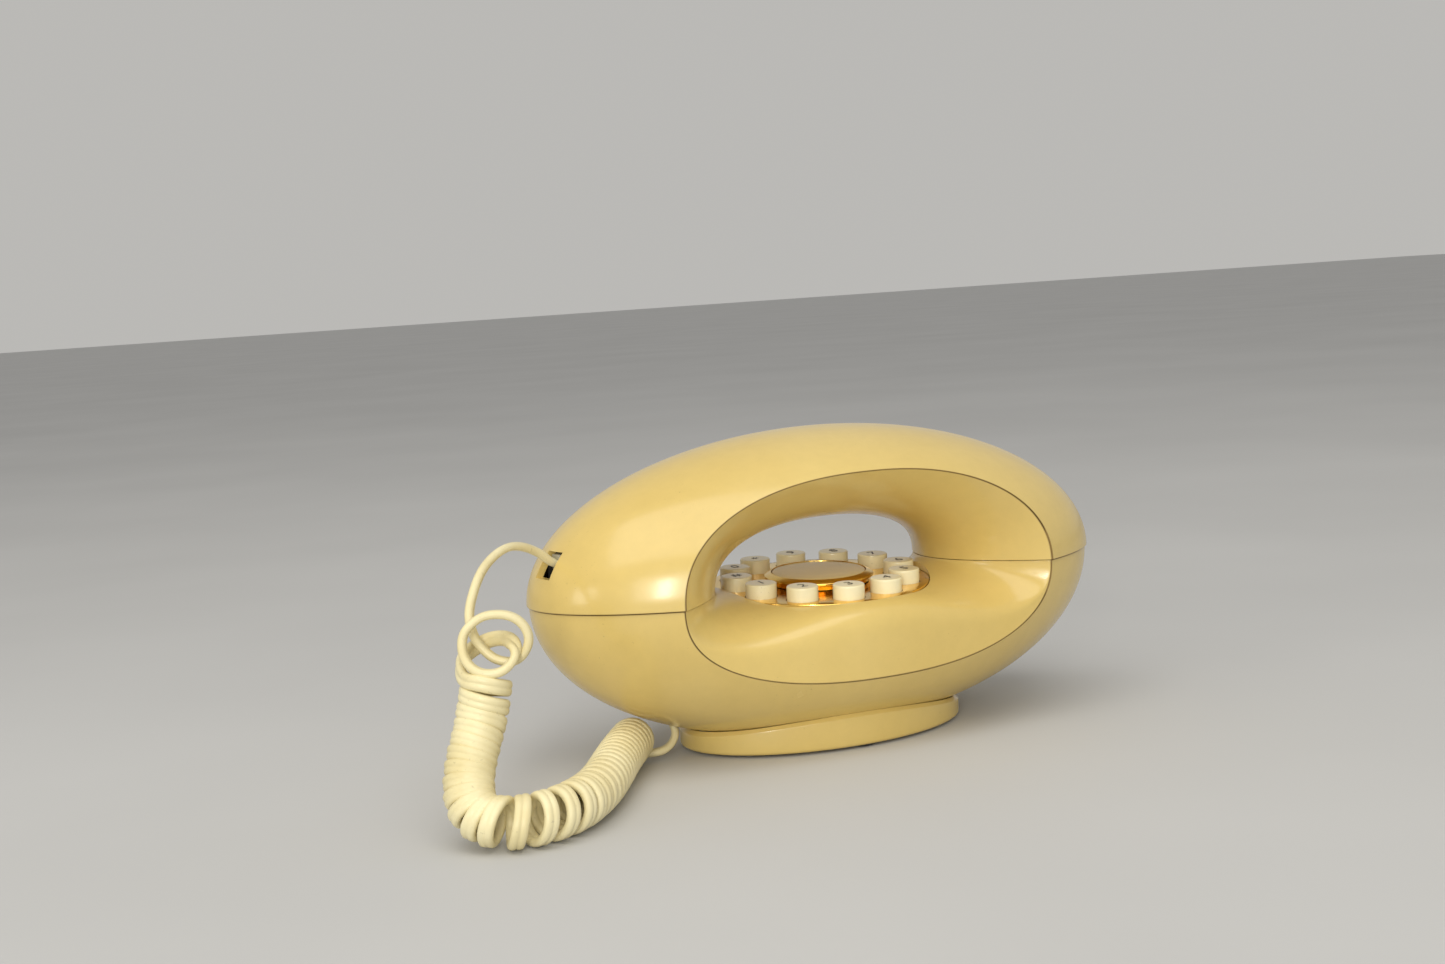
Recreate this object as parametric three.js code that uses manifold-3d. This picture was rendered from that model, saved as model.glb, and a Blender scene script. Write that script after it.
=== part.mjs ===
// Compact egg-shaped push-button telephone: a handset that arches over a round dial, a base on an
// oval foot and a coiled handset cord. Millimetres, +Z up, origin on the table under the body's centre.
import * as THREE from 'three';
import { mergeVertices } from 'three/addons/utils/BufferGeometryUtils.js';
import Module from 'manifold-3d';

const wasm = await Module();
wasm.setup();

// ---- Driving sizes -------------------------------------------------------------------------------
const LENGTH = 225; // body, along X
const WIDTH = 116; // body, along Y
const SEAM_HEIGHT = 59.4; // parting plane between handset and base, above the table
const CROWN = 54.6; // top of the handset above the parting plane
const BELLY = 57.4; // depth of the base's egg shape below the parting plane
const BELLY_FULLNESS = 2.2; // 2 is an ellipsoid, more is squarer
const LIP = 0.8; // how far the handset overhangs the base all round
const WALL = 2.4; // moulded shells
const GAP = 0.3; // between pieces that meet

const HAND_LENGTH = 148; // opening between handset and base at the outer surface, along X
const HAND_RISE = 40; // opening above the parting plane, at the outer surface
const HAND_DROP = 32.4; // opening below the parting plane, at the outer surface
const HAND_SQUARE = 2.2; // outline power of the opening above the plane
const DROP_SQUARE = 2.4; // outline power of the opening below the plane
const THROAT_LENGTH = 93; // opening at its narrowest, halfway through the body
const THROAT_RISE = 20.9;
const SADDLE_DEPTH = 2.2; // saddle that carries the dial, below the parting plane
const SHOULDER = 7; // how square the saddle's front and back shoulders are

const DIAL_TILT = 0.06; // radians, the dial leans towards the user at -Y
const DIAL_RADIUS = 41.3; // well that the dial plate lies in
const DIAL_RISE = 1.5; // key tops above the parting plane, at the dial's centre
const PLATE_DEPTH = 5.1; // dial plate's face below the key tops
const PLATE_THICK = 1.6;
const RIM_DEPTH = 4.3; // rim of the well below the key tops
const SKIRT_DEPTH = 16; // well's skirt, down to the keypad board
const KEY_COUNT = 12;
const KEY_RING = DIAL_RADIUS * 0.7748; // radius of the ring of keys
const KEY_RADIUS = KEY_RING * 0.178;
const KEY_PHASE = -158.3; // degrees, first key's place on the ring
const KEY_TRAVEL = 2.5;
const KEY_FLANGE = 0.8;
const LEDGE = DIAL_RADIUS - KEY_RING - KEY_RADIUS - KEY_FLANGE - 0.505; // under the plate's edge
const KEY_CLEARANCE = 0.3;
const HUB_RADIUS = KEY_RING - KEY_RADIUS - 5.9;
const HUB_DISC_RADIUS = HUB_RADIUS - 3;
const HUB_POST_RADIUS = 6;

const CAP_X = 79; // receiver and transmitter, each side of the centre
const CAP_RADIUS = 17;
const CAP_PROUD = 1.2; // how far a cap stands out of the handset's flat end
const CAPSULE_RADIUS = 16;
const CAPSULE_HEIGHT = 13;
const HOOK_X = THROAT_LENGTH / 2 + 8;
const HOOK_RADIUS = 2.5;

const FOOT_LENGTH = 111.5; // oval foot
const FOOT_X = -2.7; // its centre, a little towards the transmitter end
const FOOT_WIDTH = 74;
const FOOT_WALL = 2.5;
const FOOT_FLOOR = 2;
const PAD_HEIGHT = 1.6; // rubber pads, partly let into the foot
const PAD_RECESS = 0.6;
const PAD_RADIUS = 4.5;
const SCREW_X = 36; // base screws, each side of the centre
const SCREW_Y = 11;
const SCREW_RADIUS = 1.5;
const SCREW_HEAD = 2.9;
const BOSS_RADIUS = 4;

const JACK_WIDE = 9.2; // cord openings
const JACK_HIGH = 9;
const HANDSET_JACK = [4.5 - LENGTH / 2, -5, 15.7]; // on the handset's surface, from the parting plane's centre
const BASE_JACK = [-0.2933 * LENGTH, 0, -0.81 * BELLY]; // on the base's underside
const LINE_JACK_Z = -41;
const SLIDER_X = 0.267 * LENGTH; // ringer slider on the back of the base
const SLIDER_Z = -30;
const SLIDER_TRAVEL = 3;

const CORD_RADIUS = 2; // plain stand-in for the flat cord
const COIL_RADIUS = 8.3;

// ---- Materials -----------------------------------------------------------------------------------
const plastic = (color, roughness = 0.35) => new THREE.MeshStandardMaterial({ color, roughness, metalness: 0 });
const metal = (color, roughness = 0.3) => new THREE.MeshStandardMaterial({ color, roughness, metalness: 1 });
const IVORY = '#dcc07c';
const WHITE = '#e9dfbe';
const GOLD = '#c79a3c';
const STEEL = '#a9abad';
const BLACK = '#1d1c1b';
const RUBBER = '#3b3835';
const BOARD = '#7a6a35';

// ---- Tools for solids ----------------------------------------------------------------------------
// A closed geometry becomes a solid: shared vertices are merged and collapsed triangles left out.
function solid(geometry) {
  const bare = geometry.clone();
  bare.deleteAttribute('normal');
  bare.deleteAttribute('uv');
  const merged = mergeVertices(bare, 1e-4);
  const kept = [];
  const index = merged.index.array;
  for (let i = 0; i < index.length; i += 3) {
    const [a, b, c] = [index[i], index[i + 1], index[i + 2]];
    if (a !== b && b !== c && c !== a) kept.push(a, b, c);
  }
  const vertProperties = new Float32Array(merged.attributes.position.array);
  const mesh = new wasm.Mesh({ numProp: 3, vertProperties, triVerts: new Uint32Array(kept) });
  return new wasm.Manifold(mesh);
}

// A solid becomes a named mesh with its own material.
function piece(name, body, material) {
  const { vertProperties, triVerts } = body.getMesh();
  const geometry = new THREE.BufferGeometry();
  geometry.setAttribute('position', new THREE.BufferAttribute(new Float32Array(vertProperties), 3));
  geometry.setIndex(new THREE.BufferAttribute(new Uint32Array(triVerts), 1));
  geometry.computeVertexNormals();
  const mesh = new THREE.Mesh(geometry, material);
  mesh.name = name;
  return mesh;
}

function box(low, high) {
  const size = high.map((value, i) => value - low[i]);
  const geometry = new THREE.BoxGeometry(...size);
  geometry.translate(...low.map((value, i) => value + size[i] / 2));
  return solid(geometry);
}

// Turned solid about Z through (x, y): the profile is [radius, z] pairs from the axis, bottom first.
function turned(profile, segments = 24, x = 0, y = 0) {
  const geometry = new THREE.LatheGeometry(profile.map(([r, z]) => new THREE.Vector2(r, z)), segments);
  geometry.rotateX(Math.PI / 2);
  geometry.scale(1, -1, 1);
  geometry.translate(x, y, 0);
  const index = geometry.index.array;
  for (let i = 0; i < index.length; i += 3) [index[i], index[i + 1]] = [index[i + 1], index[i]];
  return solid(geometry);
}

function drum(radius, low, high, segments = 24, x = 0, y = 0) {
  return turned([[0, low], [radius, low], [radius, high], [0, high]], segments, x, y);
}

// Solid through closed rings of equal point count, closed by a fan at each end.
function loft(rings) {
  const count = rings[0].length;
  const points = rings.flat();
  const centre = (ring) => ring.reduce((sum, p) => sum.add(p), new THREE.Vector3()).divideScalar(count);
  points.push(centre(rings[0]), centre(rings[rings.length - 1]));
  const index = [];
  for (let i = 0; i < rings.length - 1; i += 1) {
    for (let j = 0; j < count; j += 1) {
      const a = i * count + j;
      const b = i * count + ((j + 1) % count);
      index.push(a, b, a + count, b, b + count, a + count);
    }
  }
  const last = (rings.length - 1) * count;
  for (let j = 0; j < count; j += 1) {
    const next = (j + 1) % count;
    index.push(points.length - 2, next, j);
    index.push(points.length - 1, last + j, last + next);
  }
  const geometry = new THREE.BufferGeometry().setFromPoints(points);
  geometry.setIndex(index);
  const body = solid(geometry);
  return body;
}

// Upright prism over an oval plan about the foot's centre.
function oval(halfX, halfY, low, high, segments = 36) {
  const geometry = new THREE.CylinderGeometry(1, 1, high - low, segments);
  geometry.rotateX(Math.PI / 2);
  geometry.scale(halfX, halfY, 1);
  geometry.translate(FOOT_X, 0, (low + high) / 2);
  return solid(geometry);
}

// ---- The egg and the opening through it ------------------------------------------------------------
const HALF_X = LENGTH / 2;
const HALF_Y = WIDTH / 2;
const FLOOR = -SEAM_HEIGHT;

// Half of the egg, `inset` inside its outer surface: +1 is the handset's half, -1 the base's half.
function eggHalf(side, inset) {
  const halfX = HALF_X + (side > 0 ? LIP : 0) - inset;
  const halfY = HALF_Y + (side > 0 ? LIP : 0) - inset;
  const height = (side > 0 ? CROWN : BELLY) - inset;
  const power = side > 0 ? 2 : BELLY_FULLNESS;
  const steps = 10;
  const profile = [[0, 0]];
  for (let i = 0; i < steps; i += 1) {
    const z = Math.sin((i / steps) * (Math.PI / 2));
    profile.push([(1 - z * z) ** (1 / power), z * height]);
  }
  profile.push([0, height]);
  if (side < 0) profile.reverse();
  const shape = turned(profile.map(([r, z]) => [r, side * z]), 40);
  return shape.scale([halfX, halfY, 1]);
}

// Half breadth of the egg's outer surface at x, z.
function breadth(side, x, z) {
  const halfX = HALF_X + (side > 0 ? LIP : 0);
  const halfY = HALF_Y + (side > 0 ? LIP : 0);
  const height = side > 0 ? CROWN : BELLY;
  const power = side > 0 ? 2 : BELLY_FULLNESS;
  const reach = (1 - (z / height) ** 2) ** (1 / power);
  return halfY * Math.sqrt(reach ** 2 - (x / halfX) ** 2);
}

// The opening's outline at one angle round it, as fractions of its half length and height.
function outline(angle, power) {
  const x = Math.sign(Math.cos(angle)) * Math.abs(Math.cos(angle)) ** (2 / power);
  const z = Math.abs(Math.sin(angle)) ** (2 / power);
  return [x, z];
}

// Space of the opening on one side of the parting plane, grown by `grow`. It narrows from the outline
// on the egg's surface to the throat: with v the share of the way out from the throat, its size grows
// with v squared round the ends, and over the saddle it follows a square shoulder instead.
const ROUND_STEPS = 20;
const THROUGH_STEPS = 12;
function opening(side, grow) {
  const mouthZ = side > 0 ? HAND_RISE : HAND_DROP;
  const throatZ = side > 0 ? THROAT_RISE : SADDLE_DEPTH;
  const power = side > 0 ? HAND_SQUARE : DROP_SQUARE;
  const outside = WIDTH;
  const ring = (v, farY) => {
    const points = [];
    for (let j = 0; j <= ROUND_STEPS; j += 1) {
      const angle = (j / ROUND_STEPS) * Math.PI;
      const [ex, ez] = outline(angle, power);
      const weight = side > 0 ? 0 : Math.sin(angle) ** 2;
      const shoulder = 1 - (1 - Math.abs(v) ** SHOULDER) ** (1 / SHOULDER);
      const flare = (1 - weight) * v * v + weight * shoulder;
      const x = (THROAT_LENGTH / 2 + (HAND_LENGTH - THROAT_LENGTH) / 2 * flare + grow) * ex;
      const edge = breadth(side, HAND_LENGTH / 2 * ex, mouthZ * ez) - grow;
      const y = farY ?? v * edge;
      const lean = DIAL_TILT * y * (1 - flare) * weight;
      const z = (throatZ + (mouthZ - throatZ) * flare + grow) * ez - lean;
      points.push(new THREE.Vector3(x, y, side * z));
    }
    const beyond = -side * WALL * 4;
    const first = points[0];
    const last = points[ROUND_STEPS];
    points.push(new THREE.Vector3(last.x, last.y, beyond));
    points.push(new THREE.Vector3(first.x, first.y, beyond));
    return side > 0 ? points : points.reverse();
  };
  const rings = [ring(-1, -outside)];
  for (let i = 0; i <= THROUGH_STEPS; i += 1) {
    rings.push(ring(Math.sin((i / THROUGH_STEPS - 0.5) * Math.PI)));
  }
  rings.push(ring(1, outside));
  return loft(rings.reverse());
}

// Straight prism along Y over the opening's outline, grown by `grow`: it trims the outer shells.
function outlinePrism(side, grow) {
  const mouthZ = side > 0 ? HAND_RISE : HAND_DROP;
  const power = side > 0 ? HAND_SQUARE : DROP_SQUARE;
  const ring = (y) => {
    const points = [];
    for (let j = 0; j <= ROUND_STEPS; j += 1) {
      const [ex, ez] = outline((j / ROUND_STEPS) * Math.PI, power);
      points.push(new THREE.Vector3((HAND_LENGTH / 2 + grow) * ex, y, side * (mouthZ + grow) * ez));
    }
    const beyond = -side * WALL * 4;
    points.push(new THREE.Vector3(points[ROUND_STEPS].x, y, beyond));
    points.push(new THREE.Vector3(points[0].x, y, beyond));
    return side > 0 ? points : points.reverse();
  };
  return loft([ring(WIDTH), ring(-WIDTH)]);
}

const outside = [LENGTH, WIDTH];
// Everything on one side of a level plane, as a block to keep or cut.
const above = (z) => box([-outside[0], -outside[1], z], [outside[0], outside[1], LENGTH]);
const below = (z) => box([-outside[0], -outside[1], -LENGTH], [outside[0], outside[1], z]);

// ---- Handset ---------------------------------------------------------------------------------------
const part = new THREE.Group();
const phone = new THREE.Group(); // its zero is the parting plane's centre
phone.position.z = SEAM_HEIGHT;
part.add(phone);
const put = (...made) => phone.add(piece(...made));
const ENDS = { receiver: 1, transmitter: -1 };
const skin = WALL + GAP;

// Depth of the flat ends: the parting gap is shared by both halves.
const endFace = GAP / 2;
const jackBox = (grow, x0, x1) => box(
  [x0, HANDSET_JACK[1] - JACK_WIDE / 2 - grow, HANDSET_JACK[2] - JACK_HIGH / 2 - grow],
  [x1, HANDSET_JACK[1] + JACK_WIDE / 2 + grow, HANDSET_JACK[2] + JACK_HIGH / 2 + grow],
);
// The screws stand beside the opening's edge, where the flat ends are widest.
const screwY = 0.43 * HALF_Y;
const edgeShare = ((screwY + BOSS_RADIUS) / breadth(1, HAND_LENGTH / 2, 0)) ** 2;
const screwX = THROAT_LENGTH / 2 + (HAND_LENGTH - THROAT_LENGTH) / 2 * edgeShare + WALL + BOSS_RADIUS - 0.6;
const HANDSET_SCREWS = [[screwX, screwY], [-screwX, -screwY]];
const BOSS_BASE = endFace + WALL + GAP;
const SCREW_LENGTH = 13;

let handsetShell = eggHalf(1, 0).subtract(eggHalf(1, WALL)).subtract(outlinePrism(1, 0));
for (const place of HANDSET_SCREWS) {
  const boss = drum(BOSS_RADIUS - 0.6, BOSS_BASE, HAND_RISE, 16, ...place);
  const pilot = drum(SCREW_RADIUS + GAP, BOSS_BASE - 1, SCREW_LENGTH + 1, 12, ...place);
  handsetShell = handsetShell.add(boss.intersect(eggHalf(1, WALL / 2))).subtract(pilot);
}
const jackX = HANDSET_JACK[0];
handsetShell = handsetShell.subtract(jackBox(0, jackX - 10, jackX + 12)).intersect(above(endFace));
put('handset_shell', handsetShell, plastic(IVORY));

const room = eggHalf(1, skin).add(eggHalf(1, 0).intersect(outlinePrism(1, -GAP)));
let liner = opening(1, WALL).add(below(endFace + WALL)).intersect(room).subtract(opening(1, 0));
for (const side of Object.values(ENDS)) {
  liner = liner.subtract(drum(CAP_RADIUS + GAP, -1, endFace + WALL + 1, 24, side * CAP_X));
}
for (const place of HANDSET_SCREWS) {
  liner = liner.subtract(drum(SCREW_RADIUS + GAP, -1, WALL * 2, 12, ...place));
  liner = liner.subtract(drum(SCREW_HEAD + GAP, -1, endFace + WALL / 2, 16, ...place));
}
put('handset_liner', liner.intersect(above(endFace)), plastic(IVORY));

const CAPSULE_BASE = endFace + WALL + 3;
for (const [name, side] of Object.entries(ENDS)) {
  const x = side * CAP_X;
  // The cap's flange lies on the liner's flat end and its face stands out through the hole.
  let cap = turned([
    [0, endFace - CAP_PROUD], [CAP_RADIUS - 1, endFace - CAP_PROUD], [CAP_RADIUS, endFace],
    [CAP_RADIUS, endFace + WALL + GAP], [CAP_RADIUS + 1.2, endFace + WALL + GAP],
    [CAP_RADIUS + 1.2, CAPSULE_BASE - 2 * GAP], [CAP_RADIUS - 2, CAPSULE_BASE - 2 * GAP],
    [CAP_RADIUS - 2, endFace + WALL / 2], [0, endFace + WALL / 2],
  ], 24, x);
  cap = cap.subtract(drum(0.9, -4, 4, 6, x));
  for (let i = 0; i < 6; i += 1) {
    const angle = (i / 6) * 2 * Math.PI;
    const hole = [x + 6 * Math.cos(angle), 6 * Math.sin(angle)];
    cap = cap.subtract(drum(0.9, -4, 4, 6, ...hole));
  }
  put(`${name}_cap`, cap, plastic(IVORY));
  put(`${name}_gasket`, turned([
    [CAPSULE_RADIUS - 4, CAPSULE_BASE - GAP], [CAPSULE_RADIUS, CAPSULE_BASE - GAP],
    [CAPSULE_RADIUS, CAPSULE_BASE + 1], [CAPSULE_RADIUS - 4, CAPSULE_BASE + 1],
    [CAPSULE_RADIUS - 4, CAPSULE_BASE - GAP],
  ], 24, x), plastic(RUBBER, 0.9));
  put(`${name}_capsule`, turned([
    [0, CAPSULE_BASE + 1 + GAP], [CAPSULE_RADIUS, CAPSULE_BASE + 1 + GAP],
    [CAPSULE_RADIUS, CAPSULE_BASE + CAPSULE_HEIGHT - 4], [CAPSULE_RADIUS - 4, CAPSULE_BASE + CAPSULE_HEIGHT],
    [0, CAPSULE_BASE + CAPSULE_HEIGHT],
  ], 24, x), name === 'receiver' ? metal(STEEL) : plastic(BLACK));
}
HANDSET_SCREWS.forEach((place, i) => {
  const headTop = endFace + WALL / 2 - GAP;
  const profile = [
    [0, endFace], [SCREW_HEAD, endFace], [SCREW_HEAD, headTop], [SCREW_RADIUS, headTop],
    [SCREW_RADIUS, SCREW_LENGTH], [0, SCREW_LENGTH],
  ];
  put(`handset_screw_${i + 1}`, turned(profile, 12, ...place), metal(STEEL));
});

// Steel strip in the handle gives the handset its weight on the hook.
const STRIP = [36, 9, 5];
const stripZ = (THROAT_RISE + WALL + CROWN - WALL) / 2;
put('handset_ballast', box(
  [-STRIP[0], -STRIP[1], stripZ - STRIP[2]], [STRIP[0], STRIP[1], stripZ + STRIP[2]],
), metal(STEEL));

// Cord socket behind the opening in the handset's end, with the plug in it.
const PLUG_WIDE = JACK_WIDE - 2.6;
const PLUG_HIGH = JACK_HIGH - 3;
const socketFront = jackX + 2;
const socketBack = socketFront + 10.3;
const handsetJack = jackBox(1, socketFront, socketBack).subtract(jackBox(-0.6, jackX - 2, socketBack - 1.5));
put('handset_jack', handsetJack.intersect(eggHalf(1, skin)), plastic(BLACK, 0.5));
const plugLow = [HANDSET_JACK[1] - PLUG_WIDE / 2, HANDSET_JACK[2] - PLUG_HIGH / 2 + 0.5];
put('handset_plug', box(
  [socketFront + 1, ...plugLow], [socketBack - 2, plugLow[0] + PLUG_WIDE, plugLow[1] + PLUG_HIGH],
), plastic('#cfc7a8', 0.2));

// ---- Base ------------------------------------------------------------------------------------------
const dial = new THREE.Group();
dial.position.set(0, 0.3, DIAL_RISE);
dial.rotation.x = DIAL_TILT;
phone.add(dial);
dial.updateMatrix();
const dialTool = (body) => body.transform(dial.matrix.toArray());

const BELLY_CUT = -(BELLY - 3.6); // flat bottom of the base shell, inside the foot
const BASE_SCREWS = [[1, 1], [1, -1], [-1, 1], [-1, -1]].map(([i, j]) => [i * SCREW_X, j * SCREW_Y]);
const SCREW_TOP = BELLY_CUT + 9;
let baseShell = eggHalf(-1, 0).subtract(eggHalf(-1, WALL)).subtract(outlinePrism(-1, 0));
for (const [x, y] of BASE_SCREWS) {
  const boss = drum(BOSS_RADIUS, -BELLY, SCREW_TOP + 2, 16, x, y);
  baseShell = baseShell.add(boss.intersect(eggHalf(-1, WALL / 2)));
}
for (const [x, y] of BASE_SCREWS) {
  baseShell = baseShell.subtract(drum(SCREW_RADIUS + GAP, -BELLY - 1, SCREW_TOP + 1, 12, x, y));
}
const lineY = breadth(-1, 0, LINE_JACK_Z);
const lineBox = (grow, y0, y1) => box(
  [-JACK_WIDE / 2 - grow, y0, LINE_JACK_Z - JACK_HIGH / 2 - grow],
  [JACK_WIDE / 2 + grow, y1, LINE_JACK_Z + JACK_HIGH / 2 + grow],
);
const baseJackBox = (grow, z0, z1) => box(
  [BASE_JACK[0] - JACK_WIDE / 2 - grow, BASE_JACK[1] - JACK_HIGH / 2 - grow, z0],
  [BASE_JACK[0] + JACK_WIDE / 2 + grow, BASE_JACK[1] + JACK_HIGH / 2 + grow, z1],
);
const sliderY = breadth(-1, SLIDER_X, SLIDER_Z);
const KNOB = [2.6, 1.6]; // half length and half height of the slider's knob
const slot = box(
  [SLIDER_X - KNOB[0] - SLIDER_TRAVEL - GAP, sliderY - 8, SLIDER_Z - KNOB[1] - GAP],
  [SLIDER_X + KNOB[0] + SLIDER_TRAVEL + GAP, sliderY + 8, SLIDER_Z + KNOB[1] + GAP],
);
baseShell = baseShell.subtract(lineBox(0, lineY - 10, lineY + 10)).subtract(slot);
baseShell = baseShell.subtract(baseJackBox(0, BASE_JACK[2] - 8, BASE_JACK[2] + 8));
baseShell = baseShell.intersect(above(BELLY_CUT)).intersect(below(-endFace));
put('base_shell', baseShell, plastic(IVORY));

// Upper part of the base: the saddle, the flat ends under the handset and the dial's well.
const baseRoom = eggHalf(-1, skin).add(eggHalf(-1, 0).intersect(outlinePrism(-1, -GAP)));
const wellOuter = DIAL_RADIUS + WALL;
let housing = opening(-1, WALL).add(above(-endFace - WALL)).intersect(baseRoom).subtract(opening(-1, 0));
housing = housing.add(dialTool(drum(wellOuter, -SKIRT_DEPTH, -RIM_DEPTH, 48)));
const ledgeTop = -PLATE_DEPTH - PLATE_THICK - GAP;
housing = housing.subtract(dialTool(drum(DIAL_RADIUS, ledgeTop, 20, 48)));
housing = housing.subtract(dialTool(drum(DIAL_RADIUS - LEDGE, -SKIRT_DEPTH - 1, 0, 48)));
for (const side of Object.values(ENDS)) {
  housing = housing.subtract(drum(CAP_RADIUS + 2, -endFace - CAP_PROUD - GAP, 1, 24, side * CAP_X));
}
housing = housing.subtract(drum(HOOK_RADIUS + GAP, -endFace - WALL - 1, 1, 16, HOOK_X));
put('dial_housing', housing.intersect(below(-endFace)), plastic(IVORY));

// Oval foot: a pan that the base shell stands in, with the steel plate that weighs the base down.
const footBottom = FLOOR + PAD_HEIGHT - PAD_RECESS;
const footHalf = [FOOT_LENGTH / 2, FOOT_WIDTH / 2];
const footInner = footHalf.map((value) => value - FOOT_WALL);
let foot = oval(...footHalf, footBottom, -HAND_DROP);
foot = foot.subtract(oval(...footInner, footBottom + FOOT_FLOOR, 0));
foot = foot.subtract(eggHalf(-1, -GAP));
const padX = footHalf[0] - 9;
const padY = footHalf[1] - 6.5;
const PADS = [[FOOT_X + padX, 0], [FOOT_X - padX, 0], [FOOT_X, padY], [FOOT_X, -padY]];
for (const [x, y] of PADS) {
  foot = foot.subtract(drum(PAD_RADIUS + GAP, FLOOR, footBottom + PAD_RECESS + GAP, 16, x, y));
}
for (const [x, y] of BASE_SCREWS) {
  foot = foot.subtract(drum(SCREW_RADIUS + GAP, FLOOR, 0, 12, x, y));
  foot = foot.subtract(drum(SCREW_HEAD + GAP, FLOOR, footBottom + FOOT_FLOOR / 2 + GAP, 16, x, y));
}
put('foot', foot, plastic(IVORY));
PADS.forEach(([x, y], i) => {
  const pad = drum(PAD_RADIUS, FLOOR, footBottom + PAD_RECESS, 16, x, y);
  put(`rubber_pad_${i + 1}`, pad, plastic(RUBBER, 0.9));
});
BASE_SCREWS.forEach(([x, y], i) => {
  const headTop = footBottom + FOOT_FLOOR / 2;
  const profile = [
    [0, footBottom + GAP / 2], [SCREW_HEAD, footBottom + GAP / 2], [SCREW_HEAD, headTop],
    [SCREW_RADIUS, headTop], [SCREW_RADIUS, SCREW_TOP], [0, SCREW_TOP],
  ];
  put(`base_screw_${i + 1}`, turned(profile, 12, x, y), metal(STEEL));
});
const panFloor = footBottom + FOOT_FLOOR;
const plateTop = BELLY_CUT - GAP;
let weight = oval(footInner[0] - 4, footInner[1] - 10, panFloor + GAP, plateTop, 40);
for (const [x, y] of BASE_SCREWS) weight = weight.subtract(drum(SCREW_RADIUS + GAP, FLOOR, 0, 12, x, y));
put('base_weight', weight, metal(STEEL, 0.5));

// ---- Dial, in its own frame: zero is the centre of the key tops --------------------------------------
const ringPlace = (i) => {
  const angle = (KEY_PHASE + (i * 360) / KEY_COUNT) * (Math.PI / 180);
  return [KEY_RING * Math.cos(angle), KEY_RING * Math.sin(angle)];
};
const disc = (radius, holes, low, thick, segments = 64) => {
  const shape = new THREE.Shape().absarc(0, 0, radius, 0, 2 * Math.PI);
  for (const [x, y, r] of holes) shape.holes.push(new THREE.Path().absarc(x, y, r, 0, 2 * Math.PI, true));
  const geometry = new THREE.ExtrudeGeometry(shape, { depth: thick, bevelEnabled: false, curveSegments: segments });
  geometry.translate(0, 0, low);
  return solid(geometry);
};
const keyHole = KEY_RADIUS + KEY_CLEARANCE;
const plateHoles = [];
for (let i = 0; i < KEY_COUNT; i += 1) plateHoles.push([...ringPlace(i), keyHole]);
plateHoles.push([0, 0, HUB_POST_RADIUS + GAP]);
let plate = drum(DIAL_RADIUS - GAP, -PLATE_DEPTH - PLATE_THICK, -PLATE_DEPTH, 48);
for (const [x, y, r] of plateHoles) plate = plate.subtract(drum(r, -PLATE_DEPTH - 3, 0, 16, x, y));
dial.add(piece('dial_plate', plate, metal(GOLD)));

const flangeTop = -PLATE_DEPTH - PLATE_THICK - GAP;
const keyBottom = flangeTop - 1.5;
const FACES = ['1', '2', '3', '4', '5', '6', '7', '8', '9', 'star', '0', 'hash'];
FACES.forEach((face, i) => {
  const key = turned([
    [0, keyBottom], [KEY_RADIUS + KEY_FLANGE, keyBottom], [KEY_RADIUS + KEY_FLANGE, flangeTop],
    [KEY_RADIUS, flangeTop], [KEY_RADIUS, -0.6], [KEY_RADIUS - 0.5, 0], [0, 0],
  ], 16, ...ringPlace(i));
  dial.add(piece(`key_${face}`, key, plastic(WHITE, 0.4)));
});

const discTop = -0.9;
dial.add(piece('hub_ring', turned([
  [0, -PLATE_DEPTH - 4.6], [HUB_POST_RADIUS, -PLATE_DEPTH - 4.6], [HUB_POST_RADIUS, -PLATE_DEPTH + GAP],
  [HUB_RADIUS - 1.4, -PLATE_DEPTH + GAP], [HUB_RADIUS - 2.9, -3.6], [HUB_RADIUS, -3],
  [HUB_RADIUS, -2.1], [HUB_DISC_RADIUS + GAP, discTop], [HUB_DISC_RADIUS + GAP, -2.9], [0, -2.9],
], 36), metal(GOLD, 0.2)));
dial.add(piece('hub_disc', turned([
  [0, -2.9 + GAP], [HUB_DISC_RADIUS, -2.9 + GAP], [HUB_DISC_RADIUS, discTop - 0.2],
  [HUB_DISC_RADIUS * 0.6, discTop + 0.1], [0, discTop + 0.2],
], 36), plastic(IVORY, 0.5)));

const matTop = keyBottom - KEY_TRAVEL - GAP;
const skirtInner = DIAL_RADIUS - LEDGE - GAP;
const postHole = [[0, 0, HUB_POST_RADIUS + 2]];
dial.add(piece('key_mat', disc(skirtInner, postHole, matTop - 1.4, 1.4, 24), plastic(RUBBER, 0.9)));
dial.add(piece('keypad_board', disc(skirtInner, postHole, matTop - 1.4 - GAP - 1.6, 1.6, 24), plastic(BOARD)));

// ---- Inside the base -------------------------------------------------------------------------------
const boardZ = -BELLY * 0.7;
put('main_board', box([-48, -17, boardZ], [48, 17, boardZ + 1.6]), plastic(BOARD));
put('sounder', drum(11, boardZ + 1.6 + GAP, boardZ + 8, 20, -28), plastic(BLACK, 0.5));
const hookDown = -16;
put('hook_switch', box([HOOK_X - 6, -4, hookDown - 9], [HOOK_X + 6, 4, hookDown - GAP]), plastic(BLACK, 0.5));
put('hook_plunger', turned([
  [0, hookDown], [HOOK_RADIUS, hookDown], [HOOK_RADIUS, -9], [HOOK_RADIUS + 1.2, -9], [HOOK_RADIUS + 1.2, -8],
  [HOOK_RADIUS, -8], [HOOK_RADIUS, -endFace - 0.5], [HOOK_RADIUS - 0.5, -endFace], [0, -endFace],
], 16, HOOK_X), plastic(WHITE, 0.3));
const lineJack = lineBox(1, lineY - 16, lineY).subtract(lineBox(-0.6, lineY - 14, lineY + 1));
put('line_jack', lineJack.intersect(eggHalf(-1, skin)), plastic(BLACK, 0.5));
const jackBottom = BASE_JACK[2];
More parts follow.
